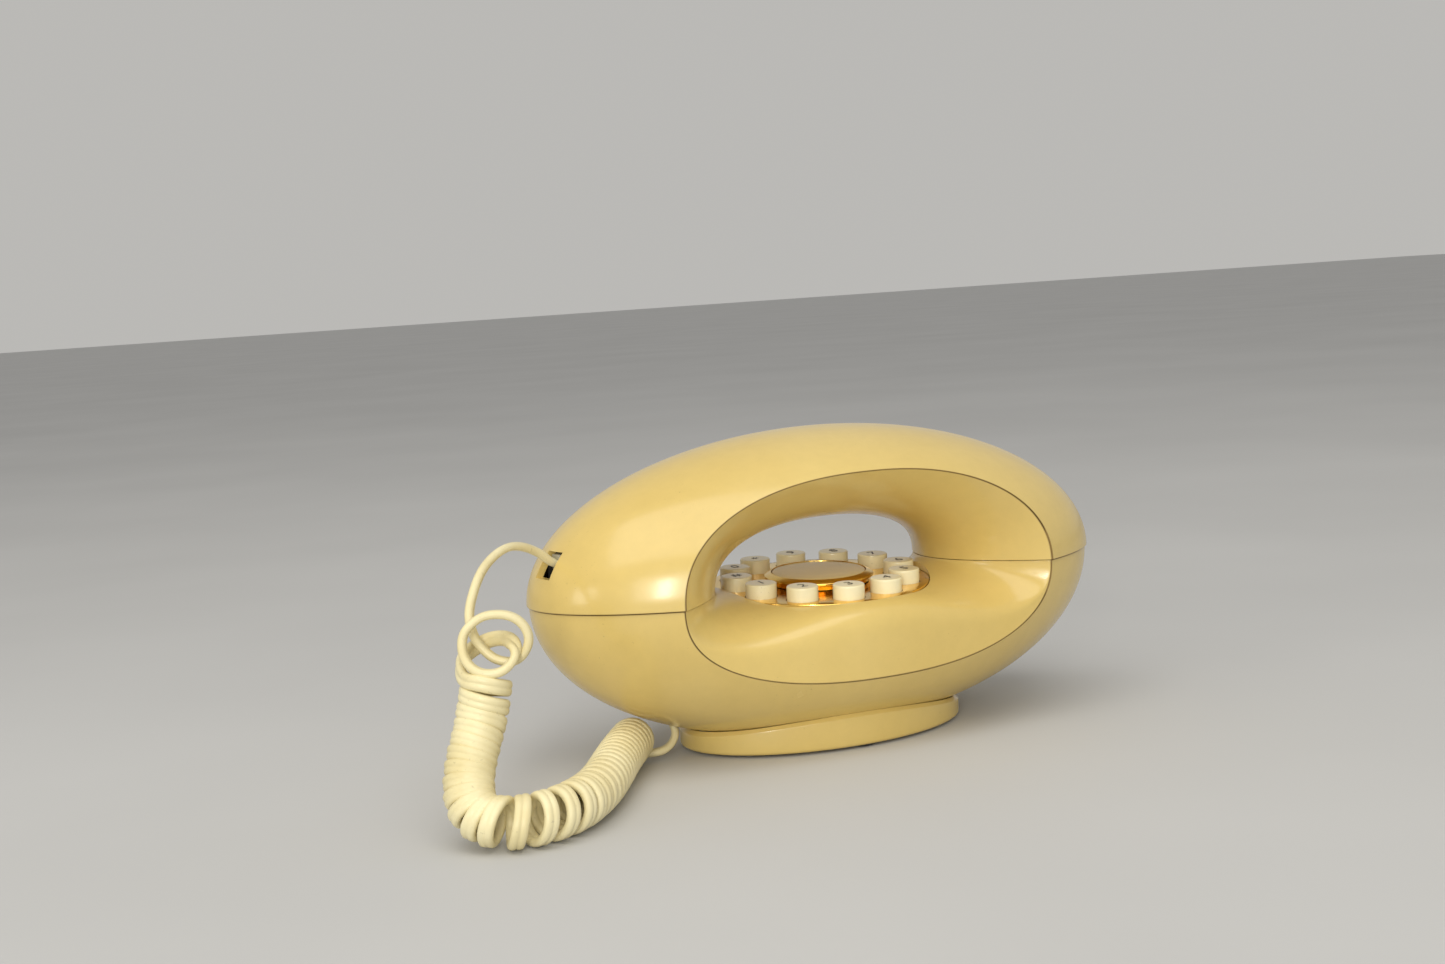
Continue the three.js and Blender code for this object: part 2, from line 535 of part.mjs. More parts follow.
const baseJack = baseJackBox(1, jackBottom, jackBottom + 16).subtract(baseJackBox(-0.6, jackBottom - 1, jackBottom + 14));
put('base_jack', baseJack.intersect(eggHalf(-1, skin)), plastic(BLACK, 0.5));
put('base_plug', box(
  [BASE_JACK[0] - PLUG_WIDE / 2, BASE_JACK[1] - PLUG_HIGH / 2, jackBottom + 3.5],
  [BASE_JACK[0] + PLUG_WIDE / 2, BASE_JACK[1] + PLUG_HIGH / 2, jackBottom + 13.5],
), plastic('#cfc7a8', 0.2));
put('ringer_slider', box(
  [SLIDER_X - KNOB[0], sliderY - 7, SLIDER_Z - KNOB[1]], [SLIDER_X + KNOB[0], sliderY + 1.8, SLIDER_Z + KNOB[1]],
), plastic(BLACK, 0.5));

// ---- Handset cord ----------------------------------------------------------------------------------
// Each stretch is a plain tube along its route; the curly stretch is one tube of its outer diameter.
function tube(points, radius, sides, steps) {
  const path = new THREE.CatmullRomCurve3(points.map((p) => new THREE.Vector3(...p)), false, 'centripetal');
  const section = new THREE.Shape();
  for (let i = 0; i < sides; i += 1) {
    const angle = (i / sides) * 2 * Math.PI;
    section[i === 0 ? 'moveTo' : 'lineTo'](radius * Math.cos(angle), radius * Math.sin(angle));
  }
  const geometry = new THREE.ExtrudeGeometry(section, { steps, extrudePath: path, bevelEnabled: false });
  return solid(geometry);
}
const cord = plastic('#dccfa6', 0.4);
const TAIL = [[-106.6, -5.4, 76.4], [-109.2, -6.9, 78.3], [-112, -9, 80.4], [-115.2, -11.2, 82.2]];
const LEAD = [
  [-115.5, -11.4, 82.3], [-119, -13.8, 83.8], [-125, -18.4, 84.8], [-131, -23.6, 84.2], [-136.5, -28.8, 82.2],
  [-141.5, -34.3, 78.8], [-145.6, -39.5, 74], [-148.4, -43.6, 69.2], [-148.8, -46.4, 65],
];
const COIL = [
  [-146.4, -54.5, 63.6], [-147.4, -54.2, 55], [-148.6, -54.6, 46], [-150.6, -56, 38.6], [-153.4, -59, 30],
  [-156.6, -63.2, 21.6], [-158.2, -69, 13.4], [-155.6, -75.4, 9.4], [-149.4, -79.4, 8.7], [-141.4, -79.2, 8.6],
  [-131, -74.6, 8.6], [-120.4, -65, 8.6], [-109.4, -50, 8.6], [-98, -31, 8.6], [-88, -14.8, 8.5], [-79.8, -2.2, 8.5],
];
const BASE_LEAD = [
  [-72.6, 0.6, 4.6], [-70, -1.6, 3], [-66.6, -2.2, 4.6], [-64, -1.8, 8], [-64, -0.8, 11.6], [-65.6, 0, 15.4],
];
part.add(piece('cord_tail', tube(TAIL, CORD_RADIUS, 8, 4), cord));
part.add(piece('cord_lead_handset', tube(LEAD, CORD_RADIUS, 8, 12), cord));
part.add(piece('cord_coil', tube(COIL, COIL_RADIUS, 12, 30), cord));
part.add(piece('cord_lead_base', tube(BASE_LEAD, CORD_RADIUS, 8, 8), cord));

export default part;
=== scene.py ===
"""Egg-shaped push-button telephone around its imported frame: an arched handset on an egg-shaped base
with a round gold dial between them, an oval foot and a flat coiled cord. Sizes are in millimetres
where they are given and in metres in the meshes."""

import bmesh
import bpy
import numpy as np
from mathutils import Matrix


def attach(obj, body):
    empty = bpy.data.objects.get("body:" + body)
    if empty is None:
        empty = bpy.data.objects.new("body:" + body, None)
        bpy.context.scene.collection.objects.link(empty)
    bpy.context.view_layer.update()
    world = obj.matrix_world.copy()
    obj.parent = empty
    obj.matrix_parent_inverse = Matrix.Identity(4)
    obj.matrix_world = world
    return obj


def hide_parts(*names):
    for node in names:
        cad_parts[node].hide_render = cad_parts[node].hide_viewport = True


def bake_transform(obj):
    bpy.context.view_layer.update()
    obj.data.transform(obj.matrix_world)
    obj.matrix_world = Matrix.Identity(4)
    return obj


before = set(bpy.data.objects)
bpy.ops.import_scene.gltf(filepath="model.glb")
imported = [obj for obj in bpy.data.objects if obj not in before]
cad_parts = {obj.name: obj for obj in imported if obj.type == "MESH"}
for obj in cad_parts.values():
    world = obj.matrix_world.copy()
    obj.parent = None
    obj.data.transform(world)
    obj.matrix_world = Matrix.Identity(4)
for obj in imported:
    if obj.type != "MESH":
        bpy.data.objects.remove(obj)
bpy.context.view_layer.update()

MM = 0.001

# ---- Camera ------------------------------------------------------------------
# It stands low in front of the phone, to the left, and looks slightly down.
sight = bpy.data.cameras.new("camera")
sight.sensor_width = 36
sight.lens = 47.34
sight.clip_start = 0.02
camera = bpy.data.objects.new("camera", sight)
bpy.context.scene.collection.objects.link(camera)
RIGHT = np.array((0.90480565, -0.42079965, -0.06522566))
UP = np.array((0.10137671, 0.0640956, 0.9927812))
FORWARD = np.array((0.4135813, 0.90488641, -0.10065334))
EYE = (-322.23, -623.94, 166.10)
camera.matrix_world = Matrix([
    [RIGHT[i], UP[i], -FORWARD[i], EYE[i] * MM] for i in range(3)
] + [[0, 0, 0, 1]])
bpy.context.scene.camera = camera

# ---- Handset cord ------------------------------------------------------------
# One flat vinyl cord, a ribbon with a groove down each face. From the plug in the handset's end it
# falls in a free loop, winds into a left-handed coil that sinks to the table, bends there and runs
# back to the plug in the base's underside. Its upper end lifts with the handset.
RIBBON_WIDE = 5.2
RIBBON_THICK = 2.8
COIL_OUTER = 8.4  # radius over the turns
TOUCHING_LEAN = 0.12  # lean of turns that touch, in radians
CORNER = 0.93  # share of the ribbon's half width at which a leaning turn reaches furthest out
HANDSET_RUN = (
    (-103.6, -5.4, 74.9), (-106.4, -5.9, 76.3), (-109.9, -7.9, 78.8), (-115.7, -11.6, 82.3),
    (-123.0, -16.8, 84.7), (-129.8, -22.5, 84.5), (-135.9, -27.7, 82.2), (-141.1, -32.9, 78.6),
    (-145.2, -37.7, 73.8), (-148.1, -41.9, 68.8), (-149.0, -44.7, 65.1), (-148.6, -47.3, 61.2),
    (-146.7, -49.9, 57.4), (-144.0, -51.9, 54.6), (-140.6, -53.5, 53.4), (-137.3, -54.8, 53.8),
    (-134.9, -55.6, 56.3), (-133.7, -56.2, 60.1), (-135.0, -56.0, 64.5), (-138.6, -55.1, 67.8),
    (-142.9, -53.9, 68.9), (-147.2, -52.6, 68.5), (-150.8, -52.1, 66.6), (-153.6, -52.2, 63.7),
    (-154.8, -53.4, 60.1), (-154.8, -55.1, 56.8), (-153.6, -57.1, 54.0), (-151.2, -59.3, 52.2),
    (-148.1, -60.9, 51.7), (-145.0, -61.6, 52.2), (-142.2, -61.2, 53.8), (-139.8, -59.2, 55.9),
    (-138.7, -56.1, 58.3), (-138.9, -52.3, 59.9), (-140.7, -48.3, 60.2), (-143.2, -45.7, 59.6),
    (-146.3, -44.4, 58.3), (-149.8, -44.6, 56.6), (-153.3, -46.7, 54.6), (-155.4, -50.9, 52.3),
    (-155.6, -55.7, 50.2),
)
LOOP_TURNS_DOWN = 27  # point of the run from which the ribbon's edge turns from the front downwards
TURNED_DOWN = 0.93  # share of the run by which it has turned
LEAD_TURN = 9  # way over which it turns back on the base's side
COIL_AXIS = (
    (-148.6, -55.6, 48.4), (-149.4, -55.7, 44), (-150.8, -55.8, 38.6), (-153.0, -57.2, 33),
    (-156.5, -59.7, 25.6), (-159.3, -63.8, 17.6), (-159.4, -70.0, 11.4), (-155.0, -76.0, 8.9),
    (-148.8, -79.6, 8.7), (-141.4, -79.2, 8.7), (-131, -74.6, 8.7), (-120.4, -65, 8.7),
    (-109.4, -50, 8.7), (-98, -31, 8.7), (-88, -14.8, 8.7), (-79.8, -2.2, 8.6),
)
# Way along the axis, in millimetres from its start, and the pitch of the turns there.
COIL_PITCH = (
    (0, 5.6), (13, 5.4), (17, 4.39), (50, 4.39), (51.5, 7.6), (56, 7.2), (60, 6.7), (70, 7.2),
    (77, 7.0), (83, 5.8), (90, 5.2), (110, 4.8), (140, 4.4), (200, 4.3),
)
BASE_RUN = ((-71.4, -4.6, 3.2), (-66.6, -4.0, 4.6), (-63.4, -2.4, 8.4), (-63.8, -0.8, 12.4),
            (-65.9, 0, 17.2))


def smooth_line(points, spacing):
    """Points `spacing` apart on the natural cubic spline through `points`. Its parameter is the
    length of the chords, and its second derivatives solve the usual tridiagonal system."""
    points = np.asarray(points, float)
    chord = np.linalg.norm(np.diff(points, axis=0), axis=1)
    knots = np.concatenate([[0], np.cumsum(chord)])
    slope = np.diff(points, axis=0) / chord[:, None]
    count = len(points)
    system = np.zeros((count, count))
    known = np.zeros(points.shape)
    inner = np.arange(1, count - 1)
    system[0, 0] = system[-1, -1] = 1
    system[inner, inner - 1] = chord[:-1]
    system[inner, inner] = 2 * (chord[:-1] + chord[1:])
    system[inner, inner + 1] = chord[1:]
    known[1:-1] = 6 * (slope[1:] - slope[:-1])
    bend = np.linalg.solve(system, known)
    at = np.linspace(0, knots[-1], int(knots[-1] / spacing) + 1)
    k = np.clip(np.searchsorted(knots, at, side="right") - 1, 0, count - 2)
    u = (at - knots[k])[:, None]
    h = chord[k][:, None]
    rise = slope[k] - h * (2 * bend[k] + bend[k + 1]) / 6
    return points[k] + u * rise + u**2 * bend[k] / 2 + u**3 * (bend[k + 1] - bend[k]) / (6 * h)


def unit(vectors):
    """The vectors, each scaled to length one."""
    return vectors / np.linalg.norm(vectors, axis=-1, keepdims=True)


def way(line):
    """Length along the line up to each of its points."""
    return np.concatenate([[0], np.cumsum(np.linalg.norm(np.diff(line, axis=0), axis=1))])


def even(line, spacing, *along):
    """The line with its points an even `spacing` apart, and the arrays `along` it likewise."""
    s = way(line)
    at = np.linspace(0, s[-1], int(s[-1] / spacing) + 1)
    return [np.stack([np.interp(at, s, a[:, i]) for i in range(a.shape[1])], 1)
            for a in (line, *along)]


def carried_side(tangent, side):
    """A side direction carried along a line without twist: at each step it loses only the part
    that lies along the line's tangent."""
    sides = [side]
    for t in tangent:
        last = sides[-1] - (sides[-1] @ t) * t
        sides.append(last / np.linalg.norm(last))
    return np.array(sides[1:])


# The coil: a point turns about the axis at the radius that puts the ribbon's outer edge at
# COIL_OUTER. Where turns are closer than the ribbon is wide, they press and lean a little on each
# other; the lean comes in as the pitch falls from 5.5 to 5.
axis = smooth_line(COIL_AXIS, 0.25)
s = way(axis)
down = unit(np.gradient(axis, axis=0))
side = carried_side(down, RIGHT)
front = np.cross(down, side)
pitch = np.interp(s, *zip(*COIL_PITCH))
COIL_START = np.radians(100)  # the coil begins at the front, coming from the left
turned_by = COIL_START - np.concatenate([[0], np.cumsum(2 * np.pi / pitch[:-1] * np.diff(s))])
lean = TOUCHING_LEAN * np.clip((5.5 - pitch) / 0.5, 0, 1)
reach = RIBBON_WIDE / 2 * np.sin(lean) * CORNER + RIBBON_THICK / 2 * np.cos(lean)
away = np.cos(turned_by)[:, None] * side + np.sin(turned_by)[:, None] * front
coil = axis + (COIL_OUTER - reach)[:, None] * away
coil_wide = np.cos(lean)[:, None] * down - np.sin(lean)[:, None] * away
coil, coil_wide = even(coil, 1.0, coil_wide)

# The free stretches are splines that take in the coil's first or last points, so they join it
# without a kink. The ribbon bends only the flat way, so its width lies across each loop's plane.
joined = smooth_line(np.vstack([HANDSET_RUN, coil[[0, 4, 8]]]), 0.25)
first = np.argmin(np.linalg.norm(joined - coil[0], axis=1))
upper = joined[:first]
at_points = way(np.vstack([HANDSET_RUN, coil[:1]]))
share = way(upper) / way(upper)[-1]
turn_share = at_points[LOOP_TURNS_DOWN] / at_points[-1]
swing = np.clip((share - turn_share) / (TURNED_DOWN - turn_share), 0, 1)[:, None]
swing = swing * swing * (3 - 2 * swing)
upper_wide = (1 - swing) * -FORWARD + swing * coil_wide[0]
upper, upper_wide = even(upper, 1.0, upper_wide)
joined = smooth_line(np.vstack([coil[[-9, -5, -1]], BASE_RUN]), 0.25)
last = np.argmin(np.linalg.norm(joined - coil[-1], axis=1))
lower = joined[last + 3:]
swing = np.clip(way(lower) / LEAD_TURN, 0, 1)[:, None]
lower_wide = (1 - swing) * coil_wide[-1] + swing * -FORWARD
lower, lower_wide = even(lower, 1.0, lower_wide)
route = np.vstack([upper, coil, lower])
route_wide = np.vstack([upper_wide, coil_wide, lower_wide])

# Section of the ribbon, round its edge: half width, half thickness, with the groove in both flats.
SECTION = np.array((
    (0, 1.12), (0.35, 1.31), (0.9, 1.4), (1.5, 1.36), (2.1, 1.1), (2.45, 0.66), (2.6, 0),
    (2.45, -0.66), (2.1, -1.1), (1.5, -1.36), (0.9, -1.4), (0.35, -1.31), (0, -1.12),
    (-0.35, -1.31), (-0.9, -1.4), (-1.5, -1.36), (-2.1, -1.1), (-2.45, -0.66), (-2.6, 0),
    (-2.45, 0.66), (-2.1, 1.1), (-1.5, 1.36), (-0.9, 1.4), (-0.35, 1.31),
))


def make_mesh(name, points, faces, smooth=True):
    """An object at the origin from points in millimetres and faces, linked to the scene."""
    mesh = bpy.data.meshes.new(name)
    mesh.from_pydata((np.asarray(points) * MM).tolist(), [], faces)
    mesh.polygons.foreach_set("use_smooth", np.full(len(mesh.polygons), smooth))
    mesh.update()
    made = bpy.data.objects.new(name, mesh)
    bpy.context.scene.collection.objects.link(made)
    return made


def grid_faces(rows, columns, round_columns=False, round_rows=False):
    """Quads of a grid of rows x columns points, closed round either way where asked."""
    i = np.arange(rows if round_rows else rows - 1)[:, None]
    j = np.arange(columns if round_columns else columns - 1)[None, :]
    up, over = (i + 1) % rows, (j + 1) % columns
    corners = [i * columns + j, i * columns + over, up * columns + over, up * columns + j]
    return np.stack([np.broadcast_to(c, (i.size, j.size)) for c in corners], -1).reshape(-1, 4)


def swept(name, line, wide, section):
    """A section carried along a line: a point of it lies `wide` times its first value and `thick`
    times its second from the line, where thick is wide turned a quarter about the tangent."""
    tangent = unit(np.gradient(line, axis=0))
    wide = unit(wide - (wide * tangent).sum(1)[:, None] * tangent)
    thick = np.cross(tangent, wide)
    across = section[None, :, :1] * wide[:, None]
    rings = line[:, None] + across + section[None, :, 1:] * thick[:, None]
    rows, columns = rings.shape[:2]
    faces = grid_faces(rows, columns, round_columns=True).tolist()
    faces += [list(range(columns))[::-1], list(range((rows - 1) * columns, rows * columns))]
    return make_mesh(name, rings.reshape(-1, 3), faces), way(line)


cord, cord_way = swept("handset_cord", route, route_wide, SECTION)


def nodes_of(name):
    """A new node material: its nodes, links and shader."""
    material = bpy.data.materials.new(name)
    material.use_nodes = True
    tree = material.node_tree
    return material, tree.nodes, tree.links, tree.nodes["Principled BSDF"]


def noise(nodes, links, place, scale, detail=2.0, roughness=0.5):
    """A noise texture on a place vector."""
    made = nodes.new("ShaderNodeTexNoise")
    made.inputs["Scale"].default_value = scale
    made.inputs["Detail"].default_value = detail
    made.inputs["Roughness"].default_value = roughness
    links.new(place, made.inputs["Vector"])
    return made.outputs["Fac"]


def ramp(nodes, links, value, *stops):
    """A colour ramp over a value; a stop is (position, colour or grey)."""
    made = nodes.new("ShaderNodeValToRGB")
    links.new(value, made.inputs["Fac"])
    elements = made.color_ramp.elements
    while len(elements) < len(stops):
        elements.new(0.5)
    for element, (position, colour) in zip(elements, stops):
        element.position = position
        grey = isinstance(colour, (int, float))
        element.color = (colour, colour, colour, 1) if grey else (*colour, 1)
    return made.outputs["Color"]


def mixed(nodes, links, share, a, b, blend="MIX"):
    """Two colours mixed; the share and the colours may be sockets or plain values."""
    made = nodes.new("ShaderNodeMix")
    made.data_type = "RGBA"
    made.blend_type = blend
    for slot, value in ((0, share), (6, a), (7, b)):
        if isinstance(value, bpy.types.NodeSocket):
            links.new(value, made.inputs[slot])
        elif slot:
            made.inputs[slot].default_value = (*value, 1)
        else:
            made.inputs[slot].default_value = value
    return made.outputs[2]


def bumped(nodes, links, shader, height, distance, strength=1.0):
    """Bump of the given distance in metres on the shader."""
    made = nodes.new("ShaderNodeBump")
    made.inputs["Distance"].default_value = distance
    made.inputs["Strength"].default_value = strength
    links.new(height, made.inputs["Height"])
    links.new(made.outputs["Normal"], shader.inputs["Normal"])


def linear(red, green, blue):
    """Display colour from 0 to 255 as linear light."""
    c = np.array((red, green, blue)) / 255
    return tuple(np.where(c <= 0.04045, c / 12.92, ((c + 0.055) / 1.055) ** 2.4))


def vinyl(name, colour, dull):
    """Aged vinyl: cloudy yellowing, dull smudges from hands, fine grain."""
    material, nodes, links, shader = nodes_of(name)
    place = nodes.new("ShaderNodeTexCoord").outputs["Object"]
    cloud = ramp(nodes, links, noise(nodes, links, place, 55, 4), (0.35, 0.0), (0.7, 1.0))
    tone = mixed(nodes, links, cloud, colour, dull)
    specks = ramp(nodes, links, noise(nodes, links, place, 700, 3), (0.66, 0.0), (0.74, 1.0))
    tone = mixed(nodes, links, specks, tone, mixed(nodes, links, 0.25, tone, (0.12, 0.09, 0.05)))
    links.new(tone, shader.inputs["Base Color"])
    smudge = noise(nodes, links, place, 120, 4)
    links.new(ramp(nodes, links, smudge, (0.3, 0.34), (0.7, 0.5)), shader.inputs["Roughness"])
    shader.inputs["IOR"].default_value = 1.5
    bumped(nodes, links, shader, noise(nodes, links, place, 900, 2), 0.00004, 0.5)
    return material


cord.data.materials.append(vinyl("cord vinyl", linear(232, 221, 178), linear(216, 201, 150)))
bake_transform(cord)
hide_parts("cord_tail", "cord_lead_handset", "cord_coil", "cord_lead_base")

# ---- Table and light ---------------------------------------------------------
# A plain pale floor in a pale room. A broad light hangs overhead and another stands in front; two
# small ones to the left give the plastic its two soft highlights.
FLOOR = 20000  # half its side
floor = make_mesh(
    "floor", [(-FLOOR, -FLOOR, 0), (FLOOR, -FLOOR, 0), (FLOOR, FLOOR, 0), (-FLOOR, FLOOR, 0)],
    [(0, 1, 2, 3)], smooth=False,
)
material, nodes, links, shader = nodes_of("floor")
place = nodes.new("ShaderNodeTexCoord").outputs["Object"]
links.new(ramp(nodes, links, noise(nodes, links, place, 3, 3), (0.3, 0.50), (0.7, 0.54)),
          shader.inputs["Base Color"])
shader.inputs["Roughness"].default_value = 0.75
floor.data.materials.append(material)


def soft_box(name, place, target, width, height, watts, colour):
    """An area light at a place, in metres, that faces a target."""
    lamp = bpy.data.lights.new(name, "AREA")
    lamp.shape = "RECTANGLE"
    lamp.size, lamp.size_y = width, height
    lamp.energy = watts
    lamp.color = colour
    box = bpy.data.objects.new(name, lamp)
    bpy.context.scene.collection.objects.link(box)
    back = unit(np.subtract(place, target))
    across = unit(np.cross((0, 0, 1), back))
    over = np.cross(back, across)
    box.matrix_world = Matrix([[across[i], over[i], back[i], place[i]] for i in range(3)]
                              + [[0, 0, 0, 1]])


soft_box("overhead light", (-0.4, -0.6, 1.7), (0, 0, 0.05), 2.0, 1.6, 19, (1, 0.97, 0.9))
soft_box("front light", (-0.75, -1.5, 0.5), (0, 0, 0.04), 1.3, 0.7, 7, (1, 0.98, 0.92))
soft_box("tall window", (-0.83, -1.2, 0.415), (0, 0, 0.065), 0.15, 0.45, 4.2, (1, 0.98, 0.9))
soft_box("side window", (-1.44, -0.3, 0.345), (0, 0, 0.065), 0.42, 0.4, 2.0, (1, 0.98, 0.9))
world = bpy.data.worlds.new("room")
world.use_nodes = True
world.node_tree.nodes["Background"].inputs["Color"].default_value = (0.9, 0.885, 0.85, 1)
world.node_tree.nodes["Background"].inputs["Strength"].default_value = 0.55
bpy.context.scene.world = world
bpy.context.scene.view_settings.view_transform = "Standard"

# ---- Handset shell -----------------------------------------------------------
# Injection-moulded ABS, yellowed with age: the egg's upper half, the outside of the handset. It
# ends at the parting plane and at the hand opening, and its left end is pierced for the cord.
SEAM = 59.4  # parting plane above the table
WALL = 2.4
# The egg's half length, width and height on either side of the parting plane, and its fullness.
EGG = {"up": (113.3, 58.8, 54.6, 1.0), "down": (112.5, 58.0, 57.4, 1 / 1.1)}
# The hand opening's half length, its height, and the power of its outline.
MOUTH = {"up": (74.0, 40.0, 2.2), "down": (74.0, 32.4, 2.4)}
SKIN_GAP = 0.15  # from the parting plane to either shell


def half_breadth(half, x, z):
    """Half breadth of the egg at x and height z off the parting plane: the half width times the
    root of (1 - (z/c)^2)^fullness - (x/a)^2."""
    a, b, c, fullness = EGG[half]
    return b * np.sqrt(np.clip((1 - (z / c) ** 2) ** fullness - (x / a) ** 2, 0, None))


def face_out(points, faces, inside):
    """The faces, turned over if their middle one looks towards the point `inside`."""
    corners = np.asarray(points)[np.asarray(faces)[len(faces) // 2]]
    normal = np.cross(corners[1] - corners[0], corners[2] - corners[1])
    return faces[:, ::-1] if normal @ (corners[0] - inside) < 0 else faces


SEAM_SHADE_AND_GRIME_WIDTH = 0.5  # width of the painted shade and grime along a seam
RIM_FADE = 14  # height off the parting plane over which a slim rim thins


def sheet_piece(name, grid, inside, thick, slim_rim=False):
    """A wall from a grid of points on its outer face, which looks away from `inside`; Solidify
    gives it its thickness inwards and Bevel breaks its edges. With `slim_rim` the wall thins at its
    first and last rows, away from the parting plane, to leave room for the shell that meets it.
    The attribute `seam`, a mask of painted shade and grime along the seams, rises from 0 to 1 over
    the last SEAM_SHADE_AND_GRIME_WIDTH before an edge."""
    rows, columns = grid.shape[:2]
    points = grid.reshape(-1, 3)
    faces = face_out(points, grid_faces(rows, columns), np.asarray(inside))
    made = make_mesh(name, points, faces.tolist())
    down_rows = np.linalg.norm(np.diff(grid, axis=0), axis=2).cumsum(0)
    over_columns = np.linalg.norm(np.diff(grid, axis=1), axis=2).cumsum(1)
    from_start = np.vstack([np.zeros((1, columns)), down_rows])
    from_side = np.hstack([np.zeros((rows, 1)), over_columns])
    nearest = np.minimum(np.minimum(from_start, from_start[-1] - from_start),
                         np.minimum(from_side, from_side[:, -1:] - from_side))
    seam = made.data.attributes.new("seam", "FLOAT", "POINT")
    # Painted shade of the gaps between the shells, with a little grime: darkest at each edge.
    darkening = np.clip(1 - nearest / SEAM_SHADE_AND_GRIME_WIDTH, 0, 1)
    seam.data.foreach_set("value", darkening.ravel().astype(np.float32))
    wall = made.modifiers.new("wall", "SOLIDIFY")
    wall.thickness = thick * MM
    wall.offset = -1
    wall.use_even_offset = True
    if slim_rim:
        share = np.ones((rows, columns))
        ends = [0, 1, 2, -3, -2, -1]
        share[ends] = np.clip(1 - np.abs(grid[ends, :, 2] - SEAM) / RIM_FADE, 0.1, 1).round(2)
        group = made.vertex_groups.new(name="wall")
        for value in np.unique(share):
            group.add(np.flatnonzero(share.ravel() == value).tolist(), float(value), "REPLACE")
        wall.vertex_group = "wall"
    edge = made.modifiers.new("edge", "BEVEL")
    edge.width = 0.25 * MM
    edge.segments = 1
    edge.limit_method = "ANGLE"
    edge.angle_limit = np.radians(50)
    return made


def finished(made, cutters=(), crease=35):
    """The piece with its modifiers applied, the cutters taken out of it and its creases sharp."""
    for tool in cutters:
        cut = made.modifiers.new("cut", "BOOLEAN")
        cut.operation = "DIFFERENCE"
        cut.solver = "EXACT"
        cut.object = tool
    seen = made.evaluated_get(bpy.context.evaluated_depsgraph_get())
    mesh = bpy.data.meshes.new_from_object(seen)
    made.modifiers.clear()
    made.vertex_groups.clear()
    made.data = mesh
    mesh.polygons.foreach_set("use_smooth", np.ones(len(mesh.polygons), bool))
    mesh.set_sharp_from_angle(angle=np.radians(crease))
    for tool in cutters:
        bpy.data.objects.remove(tool)
    return made


def edged(values, step):
    """The values with one more at a small step inside each end, where the painted seam shade and
    grime fades out.
    """
    ends = [values[0] + step], [values[-1] - step]
    return np.concatenate([values[:1], ends[0], values[1:-1], ends[1], values[-1:]])


def egg_skin(half, rows, columns):
    """The egg's skin round the opening. Theta goes round the egg's long section, and psi across it
    from the opening's front edge over the top to its back edge. The distance from the middle is
    rho = far sin(psi), where `far` is the outline's own distance at that theta: the root of
    (1 - (rho sin theta)^2)^fullness = (rho cos theta)^2, found by halving."""
    a, b, c, fullness = EGG[half]
    long, tall, power = MOUTH[half]
    theta = edged(np.linspace(0.001, np.pi - 0.001, columns), 0.006)
    cos, sin = np.cos(theta), np.sin(theta)
    edge = (np.abs(a * cos / long) ** power + (c * sin / tall) ** power) ** (-1 / power)
    near, far = np.zeros(theta.shape), np.minimum(1 / sin, 3)
    for _ in range(50):
        middle = (near + far) / 2
        within = np.clip(1 - (middle * sin) ** 2, 0, None) ** fullness > (middle * cos) ** 2
        near, far = np.where(within, middle, near), np.where(within, far, middle)
    start = np.arcsin(edge / far)
    t = edged(np.linspace(-1, 1, rows), 0.012)[:, None]
    psi = np.pi / 2 + (0.7 * t + 0.3 * np.sin(t * np.pi / 2)) * (np.pi / 2 - start)
    rho = far * np.sin(psi)
    x = a * rho * cos
    z = c * rho * sin
    y = -np.sign(np.cos(psi)) * half_breadth(half, x, z)
    z = np.maximum(z, SKIN_GAP)
    return np.stack([x, y, z if half == "up" else -z], -1) + (0, 0, SEAM)


def block(name, low, high):
    """A plain box to cut with."""
    (x0, y0, z0), (x1, y1, z1) = low, high
    points = [(x, y, z) for x in (x0, x1) for y in (y0, y1) for z in (z0, z1)]
    faces = [(0, 1, 3, 2), (4, 6, 7, 5), (0, 4, 5, 1), (2, 3, 7, 6), (0, 2, 6, 4), (1, 5, 7, 3)]
    return make_mesh(name, points, faces, smooth=False)


def aged_plastic(name, colour, dull):
    """Gloss ABS yellowed with age: broad cloudy yellowing, small dark scuffs and specks, and a
    gloss that is duller where hands and dust have been."""
    material, nodes, links, shader = nodes_of(name)
    place = nodes.new("ShaderNodeTexCoord").outputs["Object"]
    cloud = ramp(nodes, links, noise(nodes, links, place, 14, 3), (0.3, 0.0), (0.72, 1.0))
    tone = mixed(nodes, links, cloud, colour, dull)
    mottle = ramp(nodes, links, noise(nodes, links, place, 210, 4, 0.6), (0.3, 0.975), (0.7, 1.015))
    tone = mixed(nodes, links, 1.0, tone, mottle, "MULTIPLY")
    patch = ramp(nodes, links, noise(nodes, links, place, 45, 2), (0.52, 0.0), (0.7, 0.6))
    specks = ramp(nodes, links, noise(nodes, links, place, 1100, 2, 0.7), (0.68, 0.0), (0.75, 1.0))
    darkening = mixed(nodes, links, patch, (0, 0, 0), specks)
    tone = mixed(nodes, links, darkening, tone, (0.22, 0.15, 0.06))
    # Painted shade along the seams, where the gaps between the shells fall dark, with a little grime:
    # the `seam` attribute darkens the tone towards each edge.
    seam = nodes.new("ShaderNodeAttribute")
    seam.attribute_name = "seam"
    seam_shade_and_grime = ramp(nodes, links, seam.outputs["Fac"], (0.35, 0.0), (1.0, 0.8))
    tone = mixed(nodes, links, seam_shade_and_grime, tone, (0.16, 0.09, 0.03))
    links.new(tone, shader.inputs["Base Color"])
    wear = noise(nodes, links, place, 38, 4, 0.55)
    links.new(ramp(nodes, links, wear, (0.3, 0.19), (0.62, 0.23), (0.8, 0.3)),
              shader.inputs["Roughness"])
    shader.inputs["IOR"].default_value = 1.5
    shader.inputs["Coat Weight"].default_value = 0.2
    shader.inputs["Coat Roughness"].default_value = 0.12
    bumped(nodes, links, shader, noise(nodes, links, place, 420, 3), 0.00003, 0.35)
    return material


